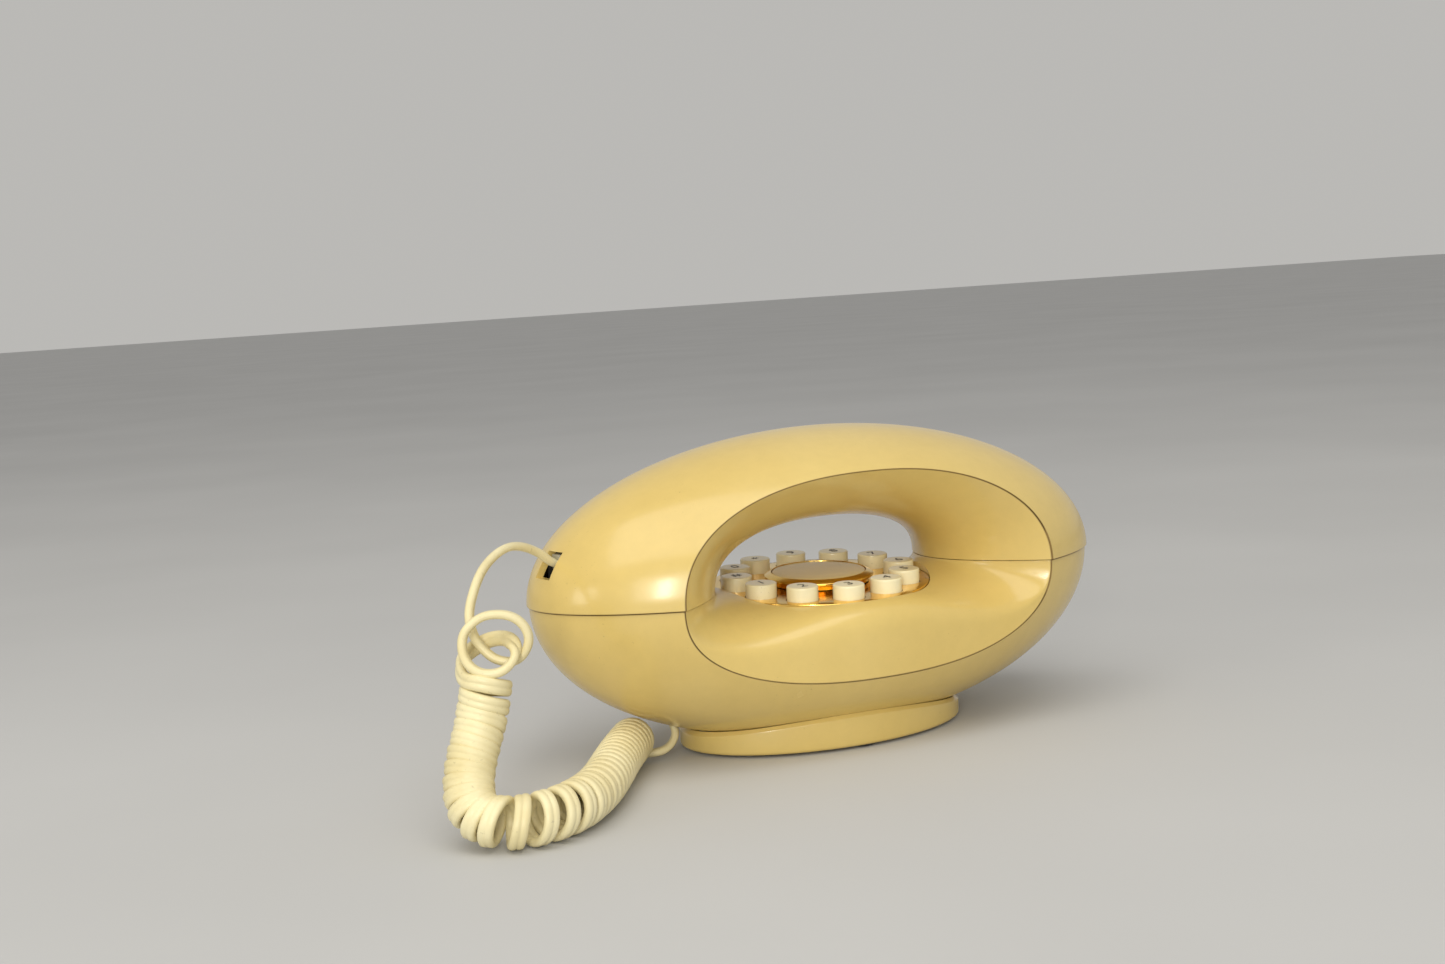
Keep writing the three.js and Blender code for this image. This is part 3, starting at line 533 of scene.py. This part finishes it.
ivory = aged_plastic("ivory shell", linear(217, 191, 118), linear(209, 181, 104))
inside = (0, 0, SEAM)  # the egg's middle
handset_shell = sheet_piece("handset_outer", egg_skin("up", 100, 190), inside, WALL, slim_rim=True)
JACK = (9.2, 9.0)  # cord openings, wide and high
HANDSET_JACK = (-108.0, -5.0, 75.1)
jack_x, jack_y, jack_z = HANDSET_JACK
opening = block("opening", (jack_x - 10, jack_y - JACK[0] / 2, jack_z - JACK[1] / 2),
                (jack_x + 12, jack_y + JACK[0] / 2, jack_z + JACK[1] / 2))
finished(handset_shell, [opening])
handset_shell.data.materials.append(ivory)
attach(handset_shell, "handset")
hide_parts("handset_shell")

# ---- Base shell --------------------------------------------------------------
# The egg's lower half in the same plastic, the outside of the base. It has the cord's opening in
# its underside, and the wall line's opening and the ringer slider's slot in its back.
BASE_JACK_X = -65.99
LINE_JACK_Z = 18.4
SLIDER = (60.075, 29.4)  # the slider's x and z
KNOB = (2.6, 1.6)  # its half length and half height
TRAVEL = 3.0
SLOT = (KNOB[0] + TRAVEL + 0.3, KNOB[1] + 0.3)
line_y = float(half_breadth("down", 0, 41.0))
base_shell = sheet_piece("base_outer", egg_skin("down", 110, 190), inside, WALL, slim_rim=True)
cuts = [
    block("cut", (BASE_JACK_X - JACK[0] / 2, -JACK[1] / 2, 4),
          (BASE_JACK_X + JACK[0] / 2, JACK[1] / 2, 21)),
    block("cut", (-JACK[0] / 2, line_y - 10, LINE_JACK_Z - JACK[1] / 2),
          (JACK[0] / 2, line_y + 10, LINE_JACK_Z + JACK[1] / 2)),
    block("cut", (SLIDER[0] - SLOT[0], 20, SLIDER[1] - SLOT[1]),
          (SLIDER[0] + SLOT[0], 60, SLIDER[1] + SLOT[1])),
]
finished(base_shell, cuts)
base_shell.data.materials.append(ivory)
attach(base_shell, "base")
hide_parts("base_shell")

# ---- Handset liner -----------------------------------------------------------
# The handset's inner shell in the same plastic: the smooth underside of its arch and its two flat
# ends, with the holes for the caps and the recesses for two screws.
THROAT = {"up": (46.5, 20.9), "down": (46.5, 2.2)}  # half length and height halfway through
SHOULDER = 7  # how square the base's saddle is over its front and back
REACH = {"up": 0.993, "down": 0.994}  # share of the egg's breadth that the flat ends span
LEAN = 0.06  # the dial and its saddle lean towards the user


def opening_skin(half, rows, columns, flat_columns):
    """The opening's surface. The angle a goes round the outline, as the powers of cosine and sine
    of a superellipse; v goes from the front edge to the back one. Length and height grow from the
    throat with v squared, and over the saddle with 1 - (1 - |v|^n)^(1/n), a square shoulder, where
    n is SHOULDER. The flat ends carry on from a = 0 and a = pi out to the outer shell's wall."""
    a_half, b_half, _, _ = EGG[half]
    long, tall, power = MOUTH[half]
    throat_long, throat_tall = THROAT[half]
    angle = np.linspace(0, np.pi, columns)
    ex = np.sign(np.cos(angle)) * np.abs(np.cos(angle)) ** (2 / power)
    ez = np.abs(np.sin(angle)) ** (2 / power)
    weight = np.zeros(columns) if half == "up" else np.sin(angle) ** 2
    turn = edged(np.linspace(-1, 1, rows), 0.004)[:, None] * np.radians(89.4)
    size = (np.abs(np.sin(turn)) ** SHOULDER + np.cos(turn) ** SHOULDER) ** (1 / SHOULDER)
    if half == "up":
        v = edged(np.linspace(-1, 1, rows), 0.011)[:, None] * np.full(columns, REACH[half])
        shoulder = np.zeros(v.shape)
    else:
        v = np.sin(turn) / size * (1 - (1 - REACH[half]) * (1 - weight))
        shoulder = 1 - np.cos(turn) / size
    flare = (1 - weight) * v**2 + weight * shoulder
    x = (throat_long + (long - throat_long) * flare) * ex
    y = v * half_breadth(half, long * ex, tall * ez)
    z = (throat_tall + (tall - throat_tall) * flare) * ez - LEAN * y * (1 - flare) * weight
    z = np.maximum(z, SKIN_GAP)
    inset = WALL + 0.3
    edge = y[:, :1]
    wall = (a_half - inset) * np.sqrt(np.clip(1 - (edge / (b_half - inset)) ** 2, 0, None))
    wall = np.maximum(wall, long - 0.3)
    share = np.linspace(0, 1, flat_columns + 1)[None, :-1]
    flat_x = wall + (x[:, :1] - wall) * share
    flat_y = np.broadcast_to(edge, flat_x.shape)
    flat_z = np.full(flat_x.shape, SKIN_GAP)
    x = np.hstack([flat_x, x, -flat_x[:, ::-1]])
    y = np.hstack([flat_y, y, flat_y])
    z = np.hstack([flat_z, z, flat_z])
    return np.stack([x, y, z if half == "up" else -z], -1) + (0, 0, SEAM)


def lathe(profile, segments, centre=(0, 0)):
    """Points and faces of a closed shape turned about Z: the profile runs from the axis at the
    bottom to the axis at the top as (radius, height)."""
    profile = np.asarray(profile, float)
    around = np.arange(segments) / segments * 2 * np.pi
    ring = profile[1:-1]
    points = np.stack([
        ring[:, :1] * np.cos(around) + centre[0], ring[:, :1] * np.sin(around) + centre[1],
        np.broadcast_to(ring[:, 1:], (len(ring), segments)),
    ], -1).reshape(-1, 3)
    faces = grid_faces(len(ring), segments, round_columns=True).tolist()
    faces += [list(range(segments))[::-1]]
    faces += [list(range((len(ring) - 1) * segments, len(ring) * segments))]
    return points, faces


def drum(name, radius, low, high, centre=(0, 0), segments=64, place=None):
    """A plain drum to cut with."""
    points, faces = lathe([(0, low), (radius, low), (radius, high), (0, high)], segments, centre)
    return make_mesh(name, points if place is None else place(points), faces, smooth=False)


CAP_X = 79
CAP_RADIUS = 17
HANDSET_SCREW = (63.99, 24.94)
above_arch = (0, 0, SEAM + 200)
liner = sheet_piece("handset_inner", opening_skin("up", 76, 150, 14), above_arch, WALL)
cuts = [drum("cut", CAP_RADIUS + 0.3, SEAM - 2, SEAM + 5, (side * CAP_X, 0)) for side in (1, -1)]
cuts += [drum("cut", 3.2, SEAM - 2, SEAM + 1.35, (s * HANDSET_SCREW[0], s * HANDSET_SCREW[1]), 32)
         for s in (1, -1)]
finished(liner, cuts)
liner.data.materials.append(ivory)
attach(liner, "handset")
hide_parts("handset_liner")

# ---- Dial housing ------------------------------------------------------------
# The base's inner shell in the same plastic: the saddle with the round well for the dial, and the
# flat ends under the handset's, with shallow dishes for its caps and a hole for the hook plunger.
DIAL_CENTRE = (0, 0.3, 60.9)
DIAL_RADIUS = 41.3
HOOK_X = 54.5
HOOK_RADIUS = 2.5


def on_dial(points):
    """Points of the dial's own frame, whose zero is the middle of the key tops, in the phone's."""
    cos, sin = np.cos(LEAN), np.sin(LEAN)
    x, y, z = np.asarray(points, float).T
    return np.stack([x, y * cos - z * sin, y * sin + z * cos], 1) + DIAL_CENTRE


below_saddle = (0, 0, SEAM - 200)
saddle = sheet_piece("dial_housing_top", opening_skin("down", 130, 170, 14), below_saddle, WALL)
cuts = [drum("cut", DIAL_RADIUS, -12, 20, segments=160, place=on_dial)]
cuts += [drum("cut", CAP_RADIUS + 2, SEAM - SKIN_GAP - 1.5, SEAM + 2, (side * CAP_X, 0))
         for side in (1, -1)]
cuts += [drum("cut", HOOK_RADIUS + 0.3, SEAM - 5, SEAM + 2, (HOOK_X, 0), 32)]
finished(saddle, cuts)
saddle.data.materials.append(ivory)
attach(saddle, "base")
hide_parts("dial_housing")

# ---- Dial well ---------------------------------------------------------------
# The round skirt that hangs under the opening in the saddle, moulded in one with it. The dial plate
# lies on the step in its top edge.


def ring_lathe(profile, segments):
    """Points and faces of a ring turned about Z from a closed profile, listed anticlockwise as
    (radius, height)."""
    profile = np.asarray(profile, float)
    around = np.arange(segments) / segments * 2 * np.pi
    points = np.stack([
        profile[:, :1] * np.cos(around), profile[:, :1] * np.sin(around),
        np.broadcast_to(profile[:, 1:], (len(profile), segments)),
    ], -1).reshape(-1, 3)
    return points, grid_faces(len(profile), segments, round_columns=True, round_rows=True).tolist()


points, faces = ring_lathe([
    (39.0, -16), (43.7, -16), (43.7, -6.8), (41.5, -6.8), (41.5, -7.1), (39.0, -7.1),
], 128)
well = finished(make_mesh("dial_well", on_dial(points), faces))
well.data.materials.append(ivory)
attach(well, "base")

# ---- Receiver and transmitter caps -------------------------------------------
# Round ivory caps, pierced with sound holes, that stand a little out of the handset's flat ends.
# A flange inside holds each of them in, and its capsule lies behind it.


def softened(profile, radius, steps=4):
    """The profile with each inner corner rounded by a short parabola that starts and ends at most
    `radius` from the corner."""
    profile = np.asarray(profile, float)
    made = [profile[0]]
    for before, corner, after in zip(profile, profile[1:], profile[2:]):
        back, on = before - corner, after - corner
        back *= min(radius / np.linalg.norm(back), 0.45)
        on *= min(radius / np.linalg.norm(on), 0.45)
        for u in np.linspace(0, 1, steps + 1):
            made.append(corner + (1 - u) ** 2 * back + u**2 * on)
    return np.array([*made, profile[-1]])


for name, side in (("receiver", 1), ("transmitter", -1)):
    profile = softened([
        (0, -1.05), (16.2, -1.05), (CAP_RADIUS, 0.0), (CAP_RADIUS, 2.8), (18.2, 2.8), (18.2, 4.9),
        (15, 4.9), (15, 1.35), (0, 1.35),
    ], 0.35, 3)
    points, faces = lathe(profile + (0, SEAM), 96, (side * CAP_X, 0))
    cap = make_mesh(f"{name}_front", points, faces)
    around = np.radians(np.arange(6) * 60)
    outer = np.radians(np.arange(12) * 30 + 15)
    holes = [(0, 0), *zip(6 * np.cos(around), 6 * np.sin(around))]
    holes += [(11 * np.cos(a), 11 * np.sin(a)) for a in outer] if side < 0 else []
    cuts = [drum("cut", 0.9, SEAM - 3, SEAM + 3, (side * CAP_X + x, y), 16) for x, y in holes]
    finished(cap, cuts)
    cap.data.materials.append(ivory)
    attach(cap, "handset")
    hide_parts(f"{name}_cap")

# ---- Foot --------------------------------------------------------------------
# Oval pan moulded in the same ivory plastic, with a rounded bottom edge. The egg stands in it, held
# by four screws from below.
FOOT = (55.75, 37.0)  # half length and half width
FOOT_X = -2.7  # its centre
FOOT_WALL = 2.5
FOOT_LOW = 1.0
FOOT_FLOOR = 3.0
PADS = ((44.05, 0), (-49.45, 0), (FOOT_X, 30.5), (FOOT_X, -30.5))
BASE_SCREWS = ((36, 11), (36, -11), (-36, 11), (-36, -11))


def oval_pan(segments):
    """The pan's section swept round its oval: down the inside from the rim to the floor, then out
    under the floor, round the bottom edge and up the wall to the sloping rim. It follows the egg's
    underside, c (1 - (x^2/a^2 + y^2/b^2)^(1/fullness))^(1/2) below the parting plane."""
    a, b, c, fullness = EGG["down"]
    around = np.arange(segments) / segments * 2 * np.pi
    cos, sin = np.cos(around), np.sin(around)

    def egg_height(long, wide):
        span = ((long * cos + FOOT_X) / a) ** 2 + (wide * sin / b) ** 2
        return SEAM - c * np.sqrt(1 - span ** (1 / fullness)) - 0.3

    rows = []
    inner = (FOOT[0] - FOOT_WALL, FOOT[1] - FOOT_WALL)
    for inset, height in (
        (30, FOOT_FLOOR), (FOOT_WALL + 1, FOOT_FLOOR), (FOOT_WALL, FOOT_FLOOR + 1),
        (FOOT_WALL, egg_height(*inner) - 0.4), (FOOT_WALL - 0.3, egg_height(*inner)),
        (1.5, egg_height(FOOT[0] - 1.5, FOOT[1] - 1.5)), (1.25, egg_height(*FOOT) - 0.75),
        (0.3, egg_height(*FOOT) - 1.75), (0.08, egg_height(*FOOT) - 1.95),
        (0, egg_height(*FOOT) - 2.3), (0, 4.6), (0, 2.4), (0.06, 1.9), (0.35, 1.35), (0.8, 1.08),
        (1.4, FOOT_LOW), (4, FOOT_LOW), (30, FOOT_LOW),
    ):
        height = np.broadcast_to(np.asarray(height, float), cos.shape)
        x = (FOOT[0] - inset) * cos + FOOT_X
        rows.append(np.stack([x, (FOOT[1] - inset) * sin, height], -1))
    points = np.stack(rows)
    count = len(rows)
    faces = face_out(points.reshape(-1, 3), grid_faces(count, segments, round_columns=True),
                     np.array((0, 0, 5.0)))
    ends = [list(range(segments)), list(range((count - 1) * segments, count * segments))]
    return points.reshape(-1, 3), faces, ends


points, faces, ends = oval_pan(160)
foot = make_mesh("foot_pan", points, faces.tolist() + ends)
shape = bmesh.new()
shape.from_mesh(foot.data)
bmesh.ops.recalc_face_normals(shape, faces=shape.faces[:])
shape.to_mesh(foot.data)
shape.free()
cuts = [drum("cut", 4.8, -1, FOOT_LOW + 0.9, place, 48) for place in PADS]
cuts += [drum("cut", 3.2, -1, FOOT_LOW + 1.3, place, 32) for place in BASE_SCREWS]
finished(foot, cuts)
foot.data.materials.append(ivory)
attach(foot, "base")
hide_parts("foot")

# ---- Rubber pads -------------------------------------------------------------
# Four small moulded discs of dark rubber, glued into shallow recesses under the foot. The phone
# stands on them.


def rubber(name, colour):
    """Soft rubber: dull, dusty in patches, with a fine pitted grain."""
    material, nodes, links, shader = nodes_of(name)
    place = nodes.new("ShaderNodeTexCoord").outputs["Object"]
    dust = ramp(nodes, links, noise(nodes, links, place, 220, 5), (0.4, 0.0), (0.75, 1.0))
    links.new(mixed(nodes, links, dust, colour, tuple(0.5 * c + 0.08 for c in colour)),
              shader.inputs["Base Color"])
    links.new(ramp(nodes, links, dust, (0, 0.65), (1, 0.9)), shader.inputs["Roughness"])
    bumped(nodes, links, shader, noise(nodes, links, place, 1500, 3), 0.00006, 0.6)
    return material


black_rubber = rubber("black rubber", linear(48, 45, 42))
for i, place in enumerate(PADS):
    points, faces = lathe(softened([(0, 0), (4.5, 0), (4.5, 1.6), (0, 1.6)], 0.4), 48, place)
    pad = finished(make_mesh(f"foot_pad_{i + 1}", points, faces))
    pad.data.materials.append(black_rubber)
    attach(pad, "base")
    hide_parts(f"rubber_pad_{i + 1}")

# ---- Screws ------------------------------------------------------------------
# Zinc-plated steel screws with cross recesses. Four hold the foot to the base, and one at each flat
# end holds the handset's two shells together.


def plated_steel(name, colour):
    """Zinc plate: cool grey with a cloudy passivated tint and turned marks."""
    material, nodes, links, shader = nodes_of(name)
    place = nodes.new("ShaderNodeTexCoord").outputs["Object"]
    cloud = ramp(nodes, links, noise(nodes, links, place, 260, 4), (0.35, 0.0), (0.7, 1.0))
    links.new(mixed(nodes, links, cloud, colour, tuple(0.72 * c for c in colour)),
              shader.inputs["Base Color"])
    shader.inputs["Metallic"].default_value = 1.0
    links.new(ramp(nodes, links, cloud, (0, 0.28), (1, 0.45)), shader.inputs["Roughness"])
    bumped(nodes, links, shader, noise(nodes, links, place, 1800, 2), 0.00002, 0.4)
    return material


zinc = plated_steel("zinc plate", linear(176, 178, 178))
# Name, place, and the heights of the head's underside and top and of the screw's tip; body.
screws = [(f"base_screw_{i + 1}", place, 1.15, 2.0, 14.6, "base")
          for i, place in enumerate(BASE_SCREWS)]
screws += [(f"handset_screw_{i + 1}", (s * HANDSET_SCREW[0], s * HANDSET_SCREW[1]),
            59.55, 60.45, 72.4, "handset") for i, s in enumerate((1, -1))]
for name, (x, y), low, head, top, body in screws:
    profile = softened([
        (0, low), (2.9, low), (2.9, head), (1.5, head), (1.5, top), (0, top),
    ], 0.25, 3)
    points, faces = lathe(profile, 48, (x, y))
    screw = make_mesh(f"{name}_head", points, faces)
    cuts = [block("cut", (x - 1.6, y - 0.3, low - 1), (x + 1.6, y + 0.3, low + 0.55)),
            block("cut", (x - 0.3, y - 1.6, low - 1), (x + 0.3, y + 1.6, low + 0.55))]
    finished(screw, cuts)
    screw.data.materials.append(zinc)
    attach(screw, body)
    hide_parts(name)

# ---- Dial plate --------------------------------------------------------------
# A bright gold-plated disc with twelve key holes that lies in the well, where light and the saddle
# reflect in it.
KEY_RING = 32.0
KEY_RADIUS = 5.7
KEY_PHASE = -158.3
PLATE = (-6.7, -5.1)  # underside and face, below the key tops
FACES = ("1", "2", "3", "4", "5", "6", "7", "8", "9", "star", "0", "hash")
key_angle = np.radians(KEY_PHASE + np.arange(12) * 30)
key_places = np.stack([KEY_RING * np.cos(key_angle), KEY_RING * np.sin(key_angle)], 1)


def gold_plate(name, colour, deep):
    """Gold-tone plating: warm metal, slightly hazy in clouds, with fine dust and tiny pits."""
    material, nodes, links, shader = nodes_of(name)
    place = nodes.new("ShaderNodeTexCoord").outputs["Object"]
    cloud = ramp(nodes, links, noise(nodes, links, place, 60, 4), (0.3, 0.0), (0.75, 1.0))
    tone = mixed(nodes, links, cloud, colour, deep)
    pits = ramp(nodes, links, noise(nodes, links, place, 1400, 2, 0.7), (0.66, 0.0), (0.74, 0.7))
    links.new(mixed(nodes, links, pits, tone, (0.22, 0.12, 0.03)), shader.inputs["Base Color"])
    shader.inputs["Metallic"].default_value = 1.0
    haze = noise(nodes, links, place, 35, 4)
    links.new(ramp(nodes, links, haze, (0.3, 0.09), (0.7, 0.2)), shader.inputs["Roughness"])
    bumped(nodes, links, shader, noise(nodes, links, place, 500, 3), 0.00002, 0.3)
    return material


gold = gold_plate("gold plating", linear(248, 212, 122), linear(236, 190, 92))
PLATE_RADIUS = 41.0
points, faces = lathe(softened([
    (0, PLATE[0]), (PLATE_RADIUS, PLATE[0]), (PLATE_RADIUS, PLATE[1]), (0, PLATE[1]),
], 0.2, 2), 160)
plate = make_mesh("dial_gold_plate", on_dial(points), faces)
cuts = [drum("cut", KEY_RADIUS + 0.3, -9, -2, tuple(xy), 64, on_dial) for xy in key_places]
cuts += [drum("cut", 6.3, -9, -2, (0, 0), 64, on_dial)]
finished(plate, cuts)
plate.data.materials.append(gold)
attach(plate, "base")
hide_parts("dial_plate")

# ---- Hub ring ----------------------------------------------------------------
# A ring on a post through the dial's middle, gold-plated like the plate. It is undercut below its
# rim and slopes up towards the disc that it holds.
hub_profile = softened([
    (0, -9.7), (6, -9.7), (6, -4.8), (19, -4.8), (17.5, -3.6), (20.4, -3), (20.4, -2.1),
    (17.7, -0.9), (17.7, -2.9), (0, -2.9),
], 0.3, 3)
points, faces = lathe(hub_profile, 160)
hub_ring = finished(make_mesh("hub_gold_ring", on_dial(points), faces))
hub_ring.data.materials.append(gold)
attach(hub_ring, "base")
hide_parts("hub_ring")

# ---- Hub disc ----------------------------------------------------------------
# A slightly crowned disc of ivory plastic, pressed into the ring's recess. It has lost its gloss,
# so it's matter than the shells.
disc_ivory = aged_plastic("ivory disc", linear(226, 200, 124), linear(214, 186, 106))
disc_shader = disc_ivory.node_tree.nodes["Principled BSDF"]
disc_shader.inputs["Specular IOR Level"].default_value = 0.2
disc_shader.inputs["Coat Weight"].default_value = 0
points, faces = lathe(softened([
    (0, -2.6), (17.4, -2.6), (17.4, -1.15), (14, -0.95), (10.4, -0.82), (5, -0.74), (0, -0.7),
], 0.3, 3), 128)
hub_disc = finished(make_mesh("hub_ivory_disc", on_dial(points), faces))
hub_disc.data.materials.append(disc_ivory)
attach(hub_disc, "base")
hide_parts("hub_disc")

# ---- Keys --------------------------------------------------------------------
# Twelve round push-buttons moulded in white plastic. They come up through the plate from a flange
# below it, and each has its figure printed on top in dark ink.
white = aged_plastic("key white", linear(242, 233, 196), linear(232, 220, 176))
print_ink, nodes, links, shader = nodes_of("printed figures")
place = nodes.new("ShaderNodeTexCoord").outputs["Object"]
links.new(ramp(nodes, links, noise(nodes, links, place, 900, 3), (0.35, (0.03, 0.028, 0.025)),
               (0.75, (0.09, 0.08, 0.07))), shader.inputs["Base Color"])
shader.inputs["Roughness"].default_value = 0.5
MARKS = {"star": "*", "hash": "#"}
FIGURE_SIZE = 6.2
INK = 0.03  # half the thickness of the print
INK_HEIGHT = 0.05  # its middle over the middle of the key's top
for face, (x, y) in zip(FACES, key_places):
    profile = softened([
        (0, -8.5), (6.5, -8.5), (6.5, -7.0), (KEY_RADIUS, -7.0), (KEY_RADIUS, -0.1), (4.4, 0.0),
        (0, 0.04),
    ], 0.55, 4)
    points, faces = lathe(profile, 72, (x, y))
    key = finished(make_mesh(f"button_{face}", on_dial(points), faces))
    key.data.materials.append(white)
    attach(key, f"key_{face}_body")
    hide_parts(f"key_{face}")
    words = bpy.data.curves.new(f"figure_{face}", "FONT")
    words.body = MARKS.get(face, face)
    words.size = FIGURE_SIZE * MM
    words.extrude = INK * MM
    words.align_x = "CENTER"
    words.align_y = "CENTER"
    flat = bpy.data.objects.new("flat", words)
    bpy.context.scene.collection.objects.link(flat)
    seen = flat.evaluated_get(bpy.context.evaluated_depsgraph_get())
    mesh = bpy.data.meshes.new_from_object(seen)
    bpy.data.objects.remove(flat)
    points = np.empty(len(mesh.vertices) * 3)
    mesh.vertices.foreach_get("co", points)
    points = points.reshape(-1, 3) / MM
    points -= ((points.max(0) + points.min(0)) / 2) * (1, 1, 0)
    mesh.vertices.foreach_set("co", (on_dial(points + (x, y, INK_HEIGHT)) * MM).ravel())
    mesh.update()
    figure = bpy.data.objects.new(f"figure_{face}", mesh)
    bpy.context.scene.collection.objects.link(figure)
    mesh.materials.clear()
    mesh.materials.append(print_ink)
    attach(figure, f"key_{face}_body")

# ---- Hook plunger ------------------------------------------------------------
# A white moulded pin under the receiver end, which the handset holds down on its switch. A collar
# inside the base keeps it in.
points, faces = lathe(softened([
    (0, 43.4), (HOOK_RADIUS, 43.4), (HOOK_RADIUS, 50.4), (3.7, 50.4), (3.7, 51.4),
    (HOOK_RADIUS, 51.4), (HOOK_RADIUS, 59.25), (0, 59.25),
], 0.4), 48, (HOOK_X, 0))
plunger = finished(make_mesh("hook_pin", points, faces))
plunger.data.materials.append(white)
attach(plunger, "plunger")
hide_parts("hook_plunger")

# ---- Cord plugs --------------------------------------------------------------
# Clear modular plugs crimped on the cord's two ends. Each is pushed into its socket through the
# opening in the shell.


def moulded(name, colour, light):
    """Moulded technical plastic: even, satin, with a faint flow pattern and fine grain."""
    material, nodes, links, shader = nodes_of(name)
    place = nodes.new("ShaderNodeTexCoord").outputs["Object"]
    flow = ramp(nodes, links, noise(nodes, links, place, 120, 4), (0.3, 0.0), (0.75, 1.0))
    links.new(mixed(nodes, links, flow, colour, light), shader.inputs["Base Color"])
    links.new(ramp(nodes, links, flow, (0, 0.38), (1, 0.52)), shader.inputs["Roughness"])
    bumped(nodes, links, shader, noise(nodes, links, place, 1200, 2), 0.00003, 0.4)
    return material


clear = moulded("plug plastic", linear(206, 198, 168), linear(226, 220, 196))
clear.node_tree.nodes["Principled BSDF"].inputs["Transmission Weight"].default_value = 0.5


def rounded_block(name, low, high, radius):
    """A box with bevelled edges."""
    made = block(name, low, high)
    edge = made.modifiers.new("edge", "BEVEL")
    edge.width = radius * MM
    edge.segments = 3
    return made


plugs = (
    ("handset_plug", "handset", (-105.0, -8.3, 72.6), (-97.7, -1.7, 78.6)),
    ("base_plug", "base", (-69.29, -3.0, 16.4), (-62.69, 3.0, 26.4)),
)
for node, body, low, high in plugs:
    plug = rounded_block(f"{node}_body", low, high, 0.5)
    finished(plug)
    plug.data.materials.append(clear)
    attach(plug, body)
    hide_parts(node)

# ---- Ringer slider -----------------------------------------------------------
# The black moulded knob of the ringer switch, which slides along the slot in the base's back. Four
# grooves across it give the finger a grip.
black = moulded("black plastic", linear(30, 29, 28), linear(44, 42, 40))
slider_y = float(half_breadth("down", SLIDER[0], 30.0))
knob = rounded_block("ringer_knob", (SLIDER[0] - KNOB[0], slider_y - 7, SLIDER[1] - KNOB[1]),
                     (SLIDER[0] + KNOB[0], slider_y + 1.8, SLIDER[1] + KNOB[1]), 0.4)
cuts = [block("cut", (58.3 + i * 1.2, slider_y + 1.4, 27), (58.8 + i * 1.2, slider_y + 3, 32))
        for i in range(4)]
finished(knob, cuts)
knob.data.materials.append(black)
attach(knob, "slider")
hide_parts("ringer_slider")

# ---- Parts inside ------------------------------------------------------------
# What the shells hide keeps its plain shape: capsules and their gaskets, weights, sockets, boards
# and switches. Only its finishes are given here.
board = moulded("phenolic board", linear(132, 112, 58), linear(156, 134, 74))
rubber_sheet = rubber("key rubber", linear(66, 63, 60))
finishes = {
    rubber_sheet: ("receiver_gasket", "transmitter_gasket", "key_mat"),
    zinc: ("receiver_capsule", "handset_ballast", "base_weight"),
    black: ("transmitter_capsule", "handset_jack", "base_jack", "line_jack", "sounder",
            "hook_switch"),
    board: ("keypad_board", "main_board"),
}
for material, names in finishes.items():
    for name in names:
        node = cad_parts[name]
        node.data.materials.clear()
        node.data.materials.append(material)
